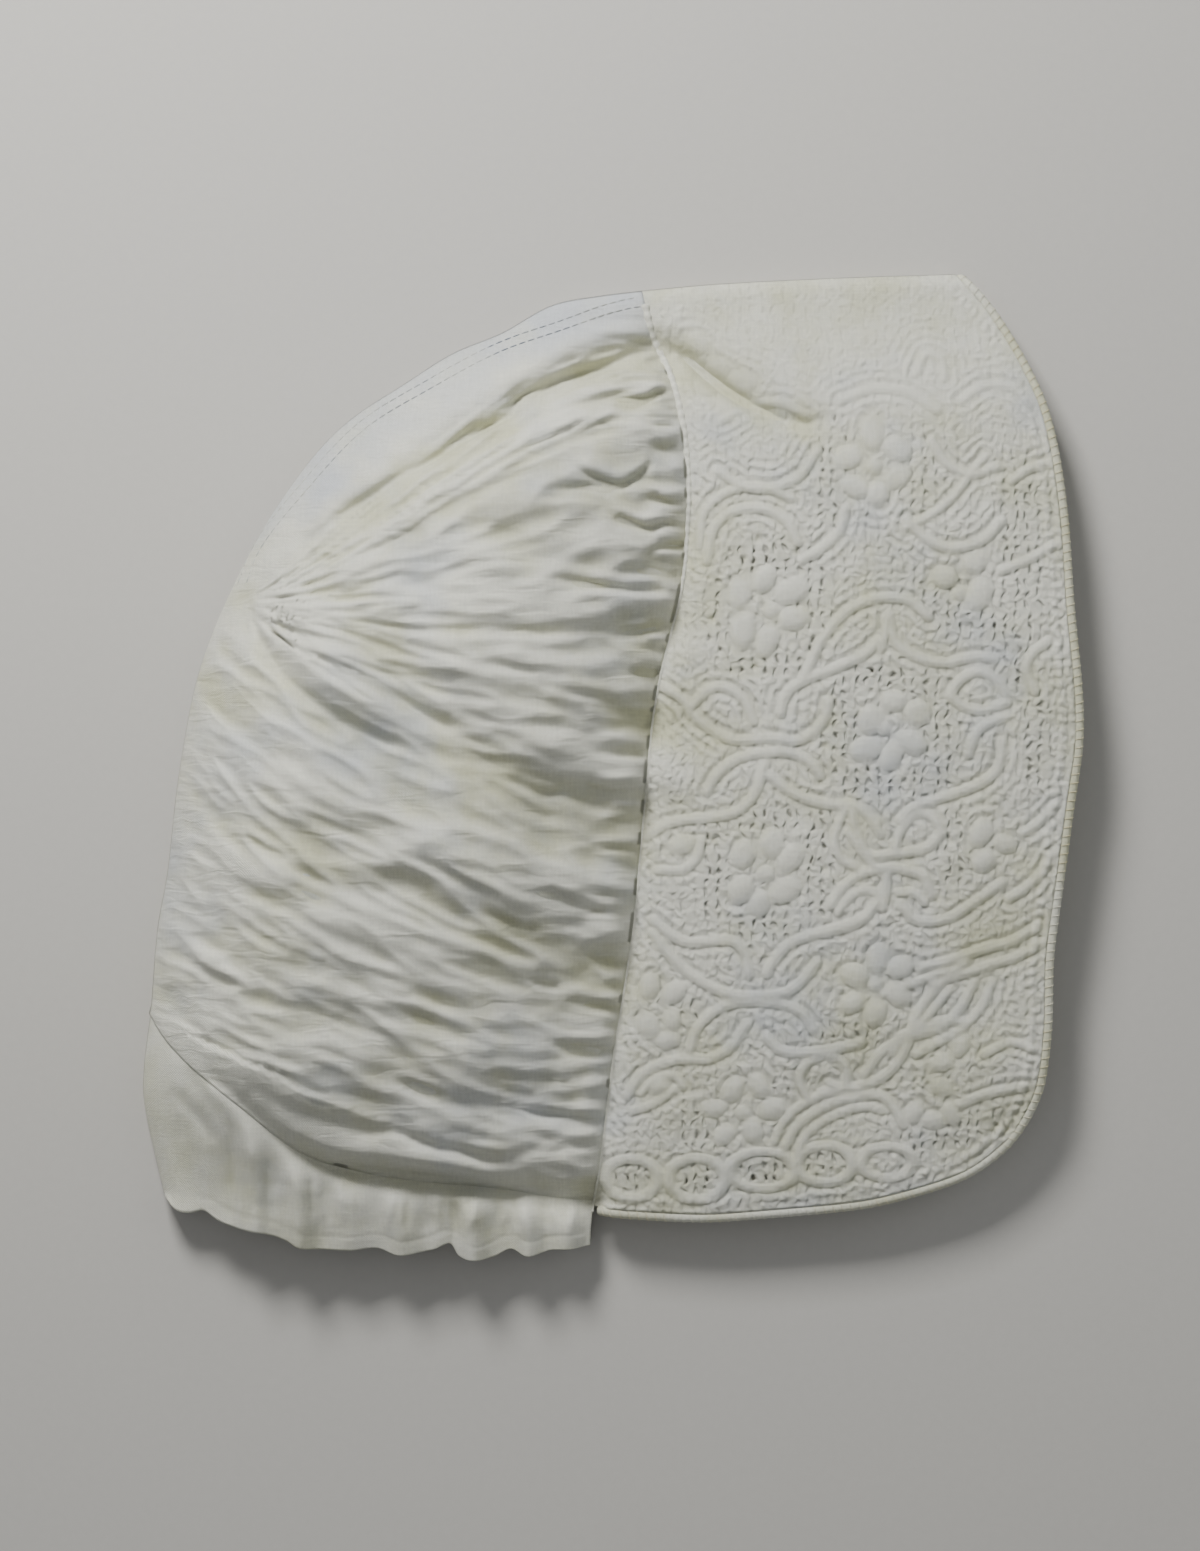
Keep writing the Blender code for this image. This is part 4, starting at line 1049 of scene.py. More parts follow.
def crumpled(points):
    """Hollows between narrow crests, drawn out along the folds."""
    along, across, out = stream_places(points)
    relief = np.zeros(len(points))
    for k, crumple in enumerate(CRUMPLES):
        u, v = along / crumple.long, across / crumple.broad
        seed = CRUMPLE_SEED + CRUMPLE_SEED_STEP * k
        lumps = np.array([noise.noise(Vector((a, b, seed))) for a, b in zip(u, v)])
        relief += crumple.rise * (CREST_LEVEL - np.sqrt(lumps * lumps + CREST_ROUND))
    from_whorl = np.linalg.norm(points - chart(*WHORL), axis=1)
    return relief * eased(1 - out / STREAM_REACH) * eased(from_whorl / WHORL_CALM)


def crown_relief(points):
    """What the gathers, pleats and wrinkles add to the crown's outer face."""
    chance = random.Random(SEED)
    relief = crumpled(points)
    for _ in range(WRINKLES):
        line = streamline(chance.uniform(*WRINKLE_LINES), WRINKLE_STEPS)
        first = chance.uniform(*WRINKLE_STARTS)
        last = first + chance.uniform(*WRINKLE_LENGTHS)
        start, stop = int(first * WRINKLE_STEPS), int(min(last, 1) * WRINKLE_STEPS)
        line = wobbled(line[start : max(start + WRINKLE_LEAST, stop)], chance, WRINKLE_WOBBLE)
        half = chance.uniform(*WRINKLE_HALF_WIDTHS)
        rise = WRINKLE_RISE * chance.choice(WRINKLE_SIGNS) * (WRINKLE_KEPT + half / WRINKLE_FULL)
        add_fold(relief, points, line, rise * chance.uniform(*WRINKLE_SHARES), half)
    for i in range(SEAM_PLEATS):
        up = PLEAT_TOP - PLEAT_SPAN * (i + chance.uniform(*PLEAT_STRAY)) / SEAM_PLEATS
        y = up * CAP_HEIGHT
        x = np.interp(y, SEAM_LINE[:, 1], SEAM_LINE[:, 0])
        long = chance.uniform(*PLEAT_LENGTHS)
        lean = chance.uniform(*PLEAT_LEANS)
        sewn = (x + PLEAT_SEWN, y - PLEAT_DROP * lean)
        knee = (x - PLEAT_KNEE[0] * long, y + PLEAT_KNEE[1] * lean * long)
        ends = np.array([sewn, knee, (x - long, y + lean * long)])
        line = along_line(ends, np.linspace(0, 1, FOLD_STEPS))
        half = chance.uniform(*PLEAT_HALF_WIDTHS)
        rise = PLEAT_RISE * chance.choice((-1, 1)) * half / PLEAT_FULL
        add_fold(relief, points, line, rise, half)
    whorl = chart(*WHORL)
    for i in range(WHORL_GATHERS):
        turn = GATHER_FAN * (i + chance.uniform(*GATHER_STRAY)) / WHORL_GATHERS
        angle = math.radians(GATHER_FIRST - turn)
        long = chance.uniform(*GATHER_LENGTHS)
        way = np.array([math.cos(angle), math.sin(angle)])
        line = whorl + np.linspace(GATHER_CLEAR, long, GATHER_STEPS)[:, None] * way
        line = wobbled(line, chance, GATHER_WOBBLE)
        half = chance.uniform(*GATHER_HALF_WIDTHS)
        add_fold(relief, points, line, GATHER_RISE * (-1) ** i * half / GATHER_FULL, half)
    from_whorl = np.linalg.norm(points - whorl, axis=1)
    relief -= WHORL_DENT * bump(from_whorl, WHORL_DENT_HALF_WIDTH)
    relief += lumpy(points, CROWN_LUMPS)
    for pinch in PINCHES:
        line = chart_route(pinch.route, ROUTE_STEPS)
        add_fold(relief, points, line, -pinch.depth, pinch.half_width * CHART_SQUARE)
        crest = line + (0, CREST_BESIDE * pinch.half_width * CHART_SQUARE)
        crest_width = CREST_WIDTH * pinch.half_width * CHART_SQUARE
        add_fold(relief, points, crest, CREST_RISE * pinch.depth, crest_width)
    return relief


# The mask of the painted shade that the linen lays in the hollows of the folds.
def hollows(points, relief):
    """How deep each point lies among the folds round it, from 0 on a ridge to 1 in a valley."""
    waves = sum(wave_height(points, wave) for wave in WAVES)
    return eased(HOLLOW_SHADE_LEVEL - (relief(points) + 0.5 * waves) / HOLLOW_SHADE_RANGE)


def casing_relief(points):
    """What the gathers add to the casing's outer face."""
    chance = random.Random(SEED + 1)
    relief = lumpy(points, CASING_LUMPS)
    for _ in range(PUCKERS):
        x = chance.uniform(*PUCKER_PLACES) * CAP_LENGTH
        top = np.interp(x, CREASE_LINE[:, 0], CREASE_LINE[:, 1])
        high = top - chance.uniform(*PUCKER_STARTS) * (top - PUCKER_CLEAR)
        low = high - chance.uniform(*PUCKER_LENGTHS) * (top - PUCKER_CLEAR)
        ends = np.array([(x, high), (x + chance.uniform(*PUCKER_LEANS), low)])
        line = along_line(ends, np.linspace(0, 1, FOLD_STEPS))
        line = wobbled(line, chance, PUCKER_WOBBLE)
        half = chance.uniform(*PUCKER_HALF_WIDTHS)
        add_fold(relief, points, line, PUCKER_RISE * chance.choice((-1, 1)), half)
    from_hem, _ = nearest(points, smooth_line(HEM, LINE_STEPS))
    return relief - HEM_STITCH_DEPTH * bump(from_hem - HEM_FOLD, HEM_STITCH_HALF_WIDTH)


def deselect():
    """Leaves nothing selected."""
    bpy.ops.object.select_all(action="DESELECT")


def activate(*objects):
    """Selects these objects alone, the first of them active."""
    deselect()
    for each in objects:
        each.select_set(True)
    bpy.context.view_layer.objects.active = objects[0]


def vertices(piece):
    """The places of a mesh's vertices."""
    places = np.empty(3 * len(piece.data.vertices))
    piece.data.vertices.foreach_get("co", places)
    return places.reshape(-1, 3)


def move_vertices(piece, places):
    """Puts a mesh's vertices at these places."""
    piece.data.vertices.foreach_set("co", places.ravel())
    piece.data.update()


def lay_grid(name, grid, heights, facing_up):
    """A grid primitive laid onto the points of one layer of cloth."""
    columns, rows = grid.shape[0] - 1, grid.shape[1] - 1
    deselect()
    bpy.ops.mesh.primitive_grid_add(x_subdivisions=columns, y_subdivisions=rows, size=1)
    layer = bpy.context.active_object
    layer.name = name
    flat = vertices(layer)
    i = np.rint((flat[:, 0] + 0.5) * columns).astype(int)
    j = np.rint((flat[:, 1] + 0.5) * rows).astype(int)
    move_vertices(layer, np.column_stack([grid[i, j], heights[i, j]]))
    if not facing_up:
        bpy.ops.object.mode_set(mode="EDIT")
        bpy.ops.mesh.select_all(action="SELECT")
        bpy.ops.mesh.flip_normals()
        bpy.ops.object.mode_set(mode="OBJECT")
    return layer


def folded_cloth(name, grid, on_fold, rims, upper, wall, relief):
    """A cloth folded in two: its layers welded at the fold, given a wall and then its relief."""
    upper = upper.reshape(grid.shape[:2])
    lower = lower_height(grid.reshape(-1, 2)).reshape(grid.shape[:2])
    upper[on_fold] = lower[on_fold] = FOLD_MIDDLE * FOLD_THICKNESS
    top = lay_grid(name, grid, upper, True)
    under = lay_grid(name + "_under", grid, lower, False)
    activate(top, under)
    bpy.ops.object.join()
    bpy.ops.object.mode_set(mode="EDIT")
    bpy.ops.mesh.select_all(action="SELECT")
    bpy.ops.mesh.remove_doubles(threshold=FOLD_MARGIN)
    bpy.ops.object.mode_set(mode="OBJECT")
    outer = len(top.data.vertices)
    facing = np.empty(3 * outer)
    top.data.vertices.foreach_get("normal", facing)
    facing = facing.reshape(-1, 3)[:, 2]
    solid = top.modifiers.new("Cloth thickness", "SOLIDIFY")
    solid.thickness = wall
    solid.offset = -1
    bpy.ops.object.modifier_apply(modifier=solid.name)
    places = vertices(top)
    plan = places[:outer, :2]
    from_fold, _ = nearest(plan, FOLD_LINE)
    from_rim = np.min([nearest(plan, rim)[0] for rim in rims], axis=0)
    keep = eased(from_rim / RIM_CALM)
    rise = relief(plan)
    above = facing > 0
    calm = keep * (FOLD_KEPT + (1 - FOLD_KEPT) * eased(from_fold / FOLD_CALM))
    calm = calm * eased(from_fold / FOLD_EDGE)
    places[:outer, 2] += np.where(above, rise * calm, 0)
    settled = eased((from_fold - 0.5 * FOLD_ROUND) / FOLD_ROUND) * keep
    sunk = UNDER_LEAST + np.clip(UNDER_DEPTH - rise, 0, 2 * UNDER_DEPTH) * settled
    places[:outer, 2] += np.where(above, 0, sunk)
    move_vertices(top, places)
    spare = top.vertex_groups.new(name="spare")
    hidden = np.ones(len(places), bool)
    hidden[:outer] = (~above) & (from_fold > FOLD_ROUND) & (from_rim > RIM_CALM)
    spare.add(np.flatnonzero(hidden).tolist(), 1, "REPLACE")
    thin = top.modifiers.new("Fewer faces out of sight", "DECIMATE")
    count = sum(len(face.vertices) - 2 for face in top.data.polygons)
    thin.ratio = MOST_TRIANGLES[name] / count
    thin.vertex_group = "spare"
    thin.use_collapse_triangulate = True
    bpy.ops.object.modifier_apply(modifier=thin.name)
    top.vertex_groups.clear()
    return top


def finish_piece(piece, material, smooth=True):
    """Puts a piece over the model's own foot, smooths it and dresses it."""
    places = vertices(piece)
    places[:, :2] -= 0.5 * np.array([CAP_LENGTH, CAP_HEIGHT])
    move_vertices(piece, places)
    piece.data.materials.clear()
    piece.data.materials.append(material)
    activate(piece)
    if smooth:
        bpy.ops.object.shade_smooth()
    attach(piece, "root")
    return piece


def chart_map(piece):
    """A UV map in tenths of a metre along the cloth, the lower layer's shifted to one side."""
    places = vertices(piece)
    normals = np.empty(3 * len(piece.data.vertices))
    piece.data.vertices.foreach_get("normal", normals)
    down = normals.reshape(-1, 3)[:, 2] < 0
    flat = MAP_SCALE * places[:, :2] + np.where(down, MAP_SCALE * LOWER_MAP_SHIFT, 0)[:, None]
    corners = np.empty(len(piece.data.loops), int)
    piece.data.loops.foreach_get("vertex_index", corners)
    layer = piece.data.uv_layers.get("cloth") or piece.data.uv_layers.new(name="cloth")
    piece.data.uv_layers.active = layer
    layer.data.foreach_set("uv", flat[corners].ravel())
    for other in [each.name for each in piece.data.uv_layers if each.name != "cloth"]:
        piece.data.uv_layers.remove(piece.data.uv_layers[other])


def mark(piece, name, values):
    """Keeps a number for each vertex, for the material to read."""
    attribute = piece.data.attributes.new(name, "FLOAT", "POINT")
    attribute.data.foreach_set("value", np.asarray(values, float))


def frames_along(route):
    """Two directions across a route at each of its points, turned as little as can be."""
    runs = np.gradient(route, axis=0)
    runs /= np.linalg.norm(runs, axis=1)[:, None]
    side = np.cross(runs[0], (0, 0, 1))
    sides = []
    for run in runs:
        side = side - run * (side @ run)
        side /= np.linalg.norm(side)
        sides.append(side)
    sides = np.array(sides)
    return sides, np.cross(runs, sides)


def tube(name, route, radii, resolution):
    """A closed round tube along a route, as a mesh."""
    curve = bpy.data.curves.new(name, "CURVE")
    curve.dimensions = "3D"
    curve.bevel_depth = 1
    curve.bevel_resolution = resolution
    curve.use_fill_caps = True
    spline = curve.splines.new("POLY")
    spline.points.add(len(route) - 1)
    spline.points.foreach_set("co", np.column_stack([route, np.ones(len(route))]).ravel())
    spline.points.foreach_set("radius", np.broadcast_to(radii, len(route)).astype(float))
    piece = bpy.data.objects.new(name, curve)
    bpy.context.scene.collection.objects.link(piece)
    activate(piece)
    bpy.ops.object.convert(target="MESH")
    piece = bpy.context.active_object
    bpy.ops.object.mode_set(mode="EDIT")
    bpy.ops.mesh.select_all(action="SELECT")
    bpy.ops.mesh.remove_doubles(threshold=FOLD_MARGIN)
    bpy.ops.mesh.normals_make_consistent(inside=False)
    bpy.ops.object.mode_set(mode="OBJECT")
    return piece


def crown_grid():
    """Plan points of the crown, and which of them lie on the fold."""
    back = smooth_line(BACK_FOLD[CASING_END_ROW : WHORL_ROW + 1], LINE_STEPS)
    over = smooth_line(BACK_FOLD[WHORL_ROW:], LINE_STEPS)
    seam = shifted(SEAM_LINE, -0.5 * SEAM_GAP)
    crease = shifted(CREASE_LINE, CROWN_LAP)
    seam = cut_line(seam, crease[-1], keep_end=True)
    seam[-1] = over[-1] - (0.5 * SEAM_GAP, 0)
    over[-1] = seam[-1]
    crease[-1] = seam[0]
    back[0] = crease[0]
    across = graded(CROWN_CELLS[0], FOLD_PACKING)
    up = 1 - graded(CROWN_CELLS[1], FOLD_PACKING)[::-1]
    grid = patch(crease, over, back, seam, across, up)
    on_fold = np.zeros(grid.shape[:2], bool)
    on_fold[0, :] = on_fold[:, -1] = True
    return grid, on_fold, [crease, seam]


def brim_grid():
    """Plan points of the brim, and which of them lie on the fold."""
    inset = BINDING_DIAMETER + BINDING_GAP
    seam = shifted(SEAM_LINE, 0.5 * SEAM_GAP)
    face = shifted(FACE_LINE, -inset)
    jaw = shifted(JAW_LINE, -inset)
    corner = 0.5 * (face[0] + jaw[-1])
    seam = cut_line(seam, jaw[0], keep_end=True)
    top = until_near(TOP_LINE, FACE_LINE, inset)
    seam[-1] = top[0] + (0.5 * SEAM_GAP, 0)
    top[0] = seam[-1]
    jaw[0], jaw[-1] = seam[0], corner
    face[0], face[-1] = corner, top[-1]
    across = np.linspace(0, 1, BRIM_CELLS[0] + 1)
    up = 1 - graded(BRIM_CELLS[1], FOLD_PACKING)[::-1]
    grid = patch(jaw, top, seam, face, across, up)
    on_fold = np.zeros(grid.shape[:2], bool)
    on_fold[:, -1] = True
    return grid, on_fold, [jaw, seam, face]


def casing_grid():
    """Plan points of the casing, and which of them lie on the fold."""
    back = smooth_line(BACK_FOLD[: CASING_END_ROW + 1], LINE_STEPS)
    crease = shifted(CREASE_LINE, 0.5 * SEAM_GAP)
    seam = shifted(SEAM_LINE, -0.5 * SEAM_GAP)
    seam = cut_line(seam, crease[-1], keep_end=False)
    hem = smooth_line(HEM, HEM_STEPS)
    crease[-1] = seam[-1]
    hem[0], hem[-1] = back[0], seam[0]
    back[-1] = crease[0]
    across = graded(CASING_CELLS[0], CASING_PACKING)
    grid = patch(hem, crease, back, seam, across, np.linspace(0, 1, CASING_CELLS[1] + 1))
    on_fold = np.zeros(grid.shape[:2], bool)
    on_fold[0, :] = True
    return grid, on_fold, [crease, seam]


def casing_height(flat):
    """Height of the casing's outer face, with its flutes."""
    heights = upper_height(flat, CASING_WALL)
    from_fold, _ = nearest(flat, FOLD_LINE)
    from_crease, _ = nearest(flat, CREASE_LINE)
    standing = eased(from_fold / SHOULDER) * eased(from_crease / FLUTE_START)
    for flute in FLUTES:
        distance = np.abs(flat[:, 0] - flute.along * CAP_LENGTH)
        profile = bump(distance, flute.half_width * CAP_LENGTH)
        heights += CAP_LOFT * flute.rise * profile * standing
    return heights - LAP_DEPTH * bump(from_crease, 2 * CROWN_LAP)


def binding_route(radius):
    """Centre line of the roll: along the jaw, up the face, over the top fold and back below."""
    jaw = shifted(JAW_LINE, -radius)
    face = shifted(FACE_LINE, -radius)
    seam_x = np.interp(jaw[0, 1], SEAM_LINE[:, 1], SEAM_LINE[:, 0])
    jaw = jaw[jaw[:, 0] > seam_x + SEAM_GAP]
    plan = np.vstack([jaw[:-1], 0.5 * (jaw[-1:] + face[:1]), face[1:]])
    turn = until_near(plan, FOLD_LINE, FOLD_ROUND)
    length = np.linalg.norm(np.diff(turn, axis=0), axis=1).sum()
    flat = along_line(turn, np.linspace(0, 1, round(length / BINDING_SPACING) + 1))
    heights = upper_height(flat, BRIM_WALL) - 0.5 * BRIM_WALL
    upper = np.column_stack([flat, heights])
    lower = np.column_stack([flat, np.full(len(flat), radius)])[::-1]
    ending = along_line(plan, np.linspace(0, 1, FINE_STEPS))
    from_fold, _ = nearest(ending, FOLD_LINE)
    over = []
    for angle in np.linspace(0, np.pi, TURN_STEPS + 1)[1:-1]:
        target = FOLD_ROUND - (FOLD_ROUND - radius) * np.sin(angle)
        at = ending[np.flatnonzero(from_fold >= target)[-1]]
        height = radius + (heights[-1] - radius) * 0.5 * (1 + np.cos(angle))
        over.append((*at, height))
    route = np.vstack([upper, over, lower])
    length = np.linalg.norm(np.diff(route, axis=0), axis=1).sum()
    return along_line(route, np.linspace(0, 1, round(length / BINDING_STEP) + 1))


def linear(hex_colour):
    """An sRGB hex colour as linear red, green and blue."""
    shares = [int(hex_colour[i : i + 2], 16) / 255 for i in (1, 3, 5)]
    return tuple(c / 12.92 if c <= 0.04045 else ((c + 0.055) / 1.055) ** 2.4 for c in shares)


def add_node(tree, kind, inputs=None, **settings):
    """Adds a node with its settings, and sets its inputs or links them.

    An input that is itself a node is linked from that node's first output.
    """
    node = tree.nodes.new(kind)
    for name, value in settings.items():
        setattr(node, name, value)
    for name, value in (inputs or {}).items():
        if isinstance(value, bpy.types.Node):
            value = value.outputs[0]
        if isinstance(value, bpy.types.NodeSocket):
            tree.links.new(value, node.inputs[name])
        else:
            node.inputs[name].default_value = value
    return node


MATH = "ShaderNodeMath"
VECTOR = "ShaderNodeVectorMath"
NOISE = "ShaderNodeTexNoise"
MIX = "ShaderNodeMix"
COLOUR_A, COLOUR_B, COLOUR_OUT = 6, 7, 2  # the mix node's colour sockets
RANGE = "ShaderNodeMapRange"  # value, from least, from most, to least, to most
MILLIMETRES = (1000, 1000, 1000)


def new_material(name):
    """An empty node material and its shader."""
    material = bpy.data.materials.new(name)
    material.use_nodes = True
    tree = material.node_tree
    shader = tree.nodes["Principled BSDF"]
    shader.inputs["Metallic"].default_value = 0
    shader.inputs["Specular IOR Level"].default_value = 0.25
    shader.inputs["Sheen Weight"].default_value = 0.12
    shader.inputs["Sheen Roughness"].default_value = 0.5
    return material, tree, shader


def aged_linen(name, look, pitch=0.55, streak=0.5, tint_shift=0.0):
    """Plain-woven bleached linen that washing and age have softened and turned yellow in patches.

    The threads are about a third of a millimetre apart, too fine for the picture, so they are
    drawn half a millimetre apart. The eye gets a matt, slightly nubbly white with warm patches,
    bluish ones in between, and the slubs of uneven thread. Painted shade is laid on top: the
    warm colour deeper in the hollows of the folds, a bluish grey along the crown's back fold,
    and a darker tone in the gaps between the threads.
    """
    material, tree, shader = new_material(name)
    cloth = add_node(tree, "ShaderNodeUVMap", uv_map="cloth")
    # The cloth's map is in tenths of a metre.
    mm = add_node(tree, "ShaderNodeMapping", {"Vector": cloth, "Scale": (100, 100, 1)})
    shake = add_node(tree, NOISE, {"Vector": mm, "Scale": 0.35, "Detail": 2.0})
    drift = add_node(tree, VECTOR, {0: shake.outputs["Color"], 1: (0.5, 0.5, 0.5)},
                     operation="SUBTRACT")
    run = add_node(tree, VECTOR, {0: drift, 1: (1.1, 1.1, 0), 2: mm}, operation="MULTIPLY_ADD")
    split = add_node(tree, "ShaderNodeSeparateXYZ", {0: run})
    turn = 2 * math.pi / pitch
    warp = add_node(tree, MATH, {0: split, 1: turn}, operation="MULTIPLY")
    weft = add_node(tree, MATH, {0: split.outputs[1], 1: turn}, operation="MULTIPLY")
    over = add_node(tree, MATH, {0: warp}, operation="SINE")
    under = add_node(tree, MATH, {0: weft}, operation="SINE")
    weave = add_node(tree, MATH, {0: over, 1: under}, operation="MULTIPLY")
    # Slubs run along the weft, and fewer of them along the warp.
    along = add_node(tree, VECTOR, {0: run, 1: (0.16, 2.3, 1)}, operation="MULTIPLY")
    up = add_node(tree, VECTOR, {0: run, 1: (2.1, 0.18, 1)}, operation="MULTIPLY")
    slub_weft = add_node(tree, NOISE, {"Vector": along, "Scale": 1.0, "Detail": 2.0})
    slub_warp = add_node(tree, NOISE, {"Vector": up, "Scale": 1.0, "Detail": 2.0})
    slubs = add_node(tree, MATH, {0: slub_weft, 1: slub_warp}, operation="ADD")
    grain = add_node(tree, NOISE, {"Vector": mm, "Scale": 1.3, "Detail": 4.0})
    # Patches 15 to 40 mm across, warm and then bluish.
    patches = add_node(tree, NOISE, {"Vector": mm, "Scale": 0.042, "Detail": 4.0,
                                     "Roughness": 0.62})
    # Painted shade: the warm colour is laid deeper into the hollows of the folds. The random
    # patches are the linen's own yellowing.
    hollow_shade = add_node(tree, "ShaderNodeAttribute", attribute_name="hollow_shade")
    sunk = add_node(tree, MATH, {0: hollow_shade.outputs["Fac"], 1: 0.28, 2: patches},
                    operation="MULTIPLY_ADD")
    warm = add_node(tree, RANGE, {0: sunk, 1: 0.52 - tint_shift, 2: 0.86})
    far = add_node(tree, VECTOR, {0: mm, 1: (87, 31, 5)}, operation="ADD")
    cool_patches = add_node(tree, NOISE, {"Vector": far, "Scale": 0.036, "Detail": 3.0,
                                          "Roughness": 0.6})
    # Painted shade: the bluish grey is laid along the crown's back fold. The random cool patches
    # are the linen's own tone.
    fold_shade = add_node(tree, "ShaderNodeAttribute", attribute_name="blued_and_shade")
    cooler = add_node(tree, MATH, {0: fold_shade.outputs["Fac"], 1: 0.21, 2: cool_patches},
                      operation="MULTIPLY_ADD")
    cool = add_node(tree, RANGE, {0: cooler, 1: 0.52, 2: 0.80})
    yellowed_and_shade = add_node(tree, MIX, {0: warm, COLOUR_A: (*look.linen, 1),
                                    COLOUR_B: (*look.yellowed_and_shade, 1)}, data_type="RGBA")
    greyed = add_node(tree, MIX, {0: cool, COLOUR_A: yellowed_and_shade.outputs[COLOUR_OUT],
                                  COLOUR_B: (*look.blued_and_shade, 1)}, data_type="RGBA")
    light = add_node(tree, RANGE, {0: slubs, 1: 0.7, 2: 1.3, 3: 0.93, 4: 1.05})
    nap = add_node(tree, RANGE, {0: grain, 1: 0.3, 2: 0.7, 3: 0.95, 4: 1.04})
    # Painted shade: the colour is darker in the gaps between the threads.
    thread_gap_shade = add_node(tree, RANGE, {0: weave, 1: -1.0, 2: 0.4, 3: 0.90, 4: 1.01})
    tone = add_node(tree, MATH, {0: light, 1: nap}, operation="MULTIPLY")
    tone = add_node(tree, MATH, {0: tone, 1: thread_gap_shade}, operation="MULTIPLY")
    colour = add_node(tree, VECTOR, {0: greyed.outputs[COLOUR_OUT], "Scale": tone},
                      operation="SCALE")
    threads = add_node(tree, MATH, {0: weave, 1: 0.042}, operation="MULTIPLY")
    uneven = add_node(tree, MATH, {0: slubs, 1: 0.10 * streak, 2: threads},
                      operation="MULTIPLY_ADD")
    height = add_node(tree, MATH, {0: grain, 1: 0.14, 2: uneven}, operation="MULTIPLY_ADD")
    rough = add_node(tree, RANGE, {0: grain, 1: 0.3, 2: 0.7, 3: 0.82, 4: 0.95})
    tree.links.new(rough.outputs[0], shader.inputs["Roughness"])
    bumped = add_node(tree, "ShaderNodeBump", {"Height": height, "Strength": 1.0,
                                               "Distance": 0.001})
    tree.links.new(bumped.outputs[0], shader.inputs["Normal"])
    tree.links.new(colour.outputs[0], shader.inputs["Base Color"])
    return material, {"mm": mm, "run": run, "height": height, "bump": bumped, "colour": colour,
                      "shader": shader}


def crown_linen(look):
    """The crown's linen, with shallow creases that pressing left in it."""
    material, made = aged_linen("Laundered plain-woven linen", look)
    tree = material.node_tree
    long = add_node(tree, VECTOR, {0: made["run"], 1: (0.10, 0.42, 1)}, operation="MULTIPLY")
    creases = add_node(tree, NOISE, {"Vector": long, "Scale": 1.0, "Detail": 3.0,
                                     "Roughness": 0.55, "Distortion": 0.6})
    pressed = add_node(tree, MATH, {0: creases, 1: 0.55, 2: made["height"]},
                       operation="MULTIPLY_ADD")
    tree.links.new(pressed.outputs[0], made["bump"].inputs["Height"])
    return material


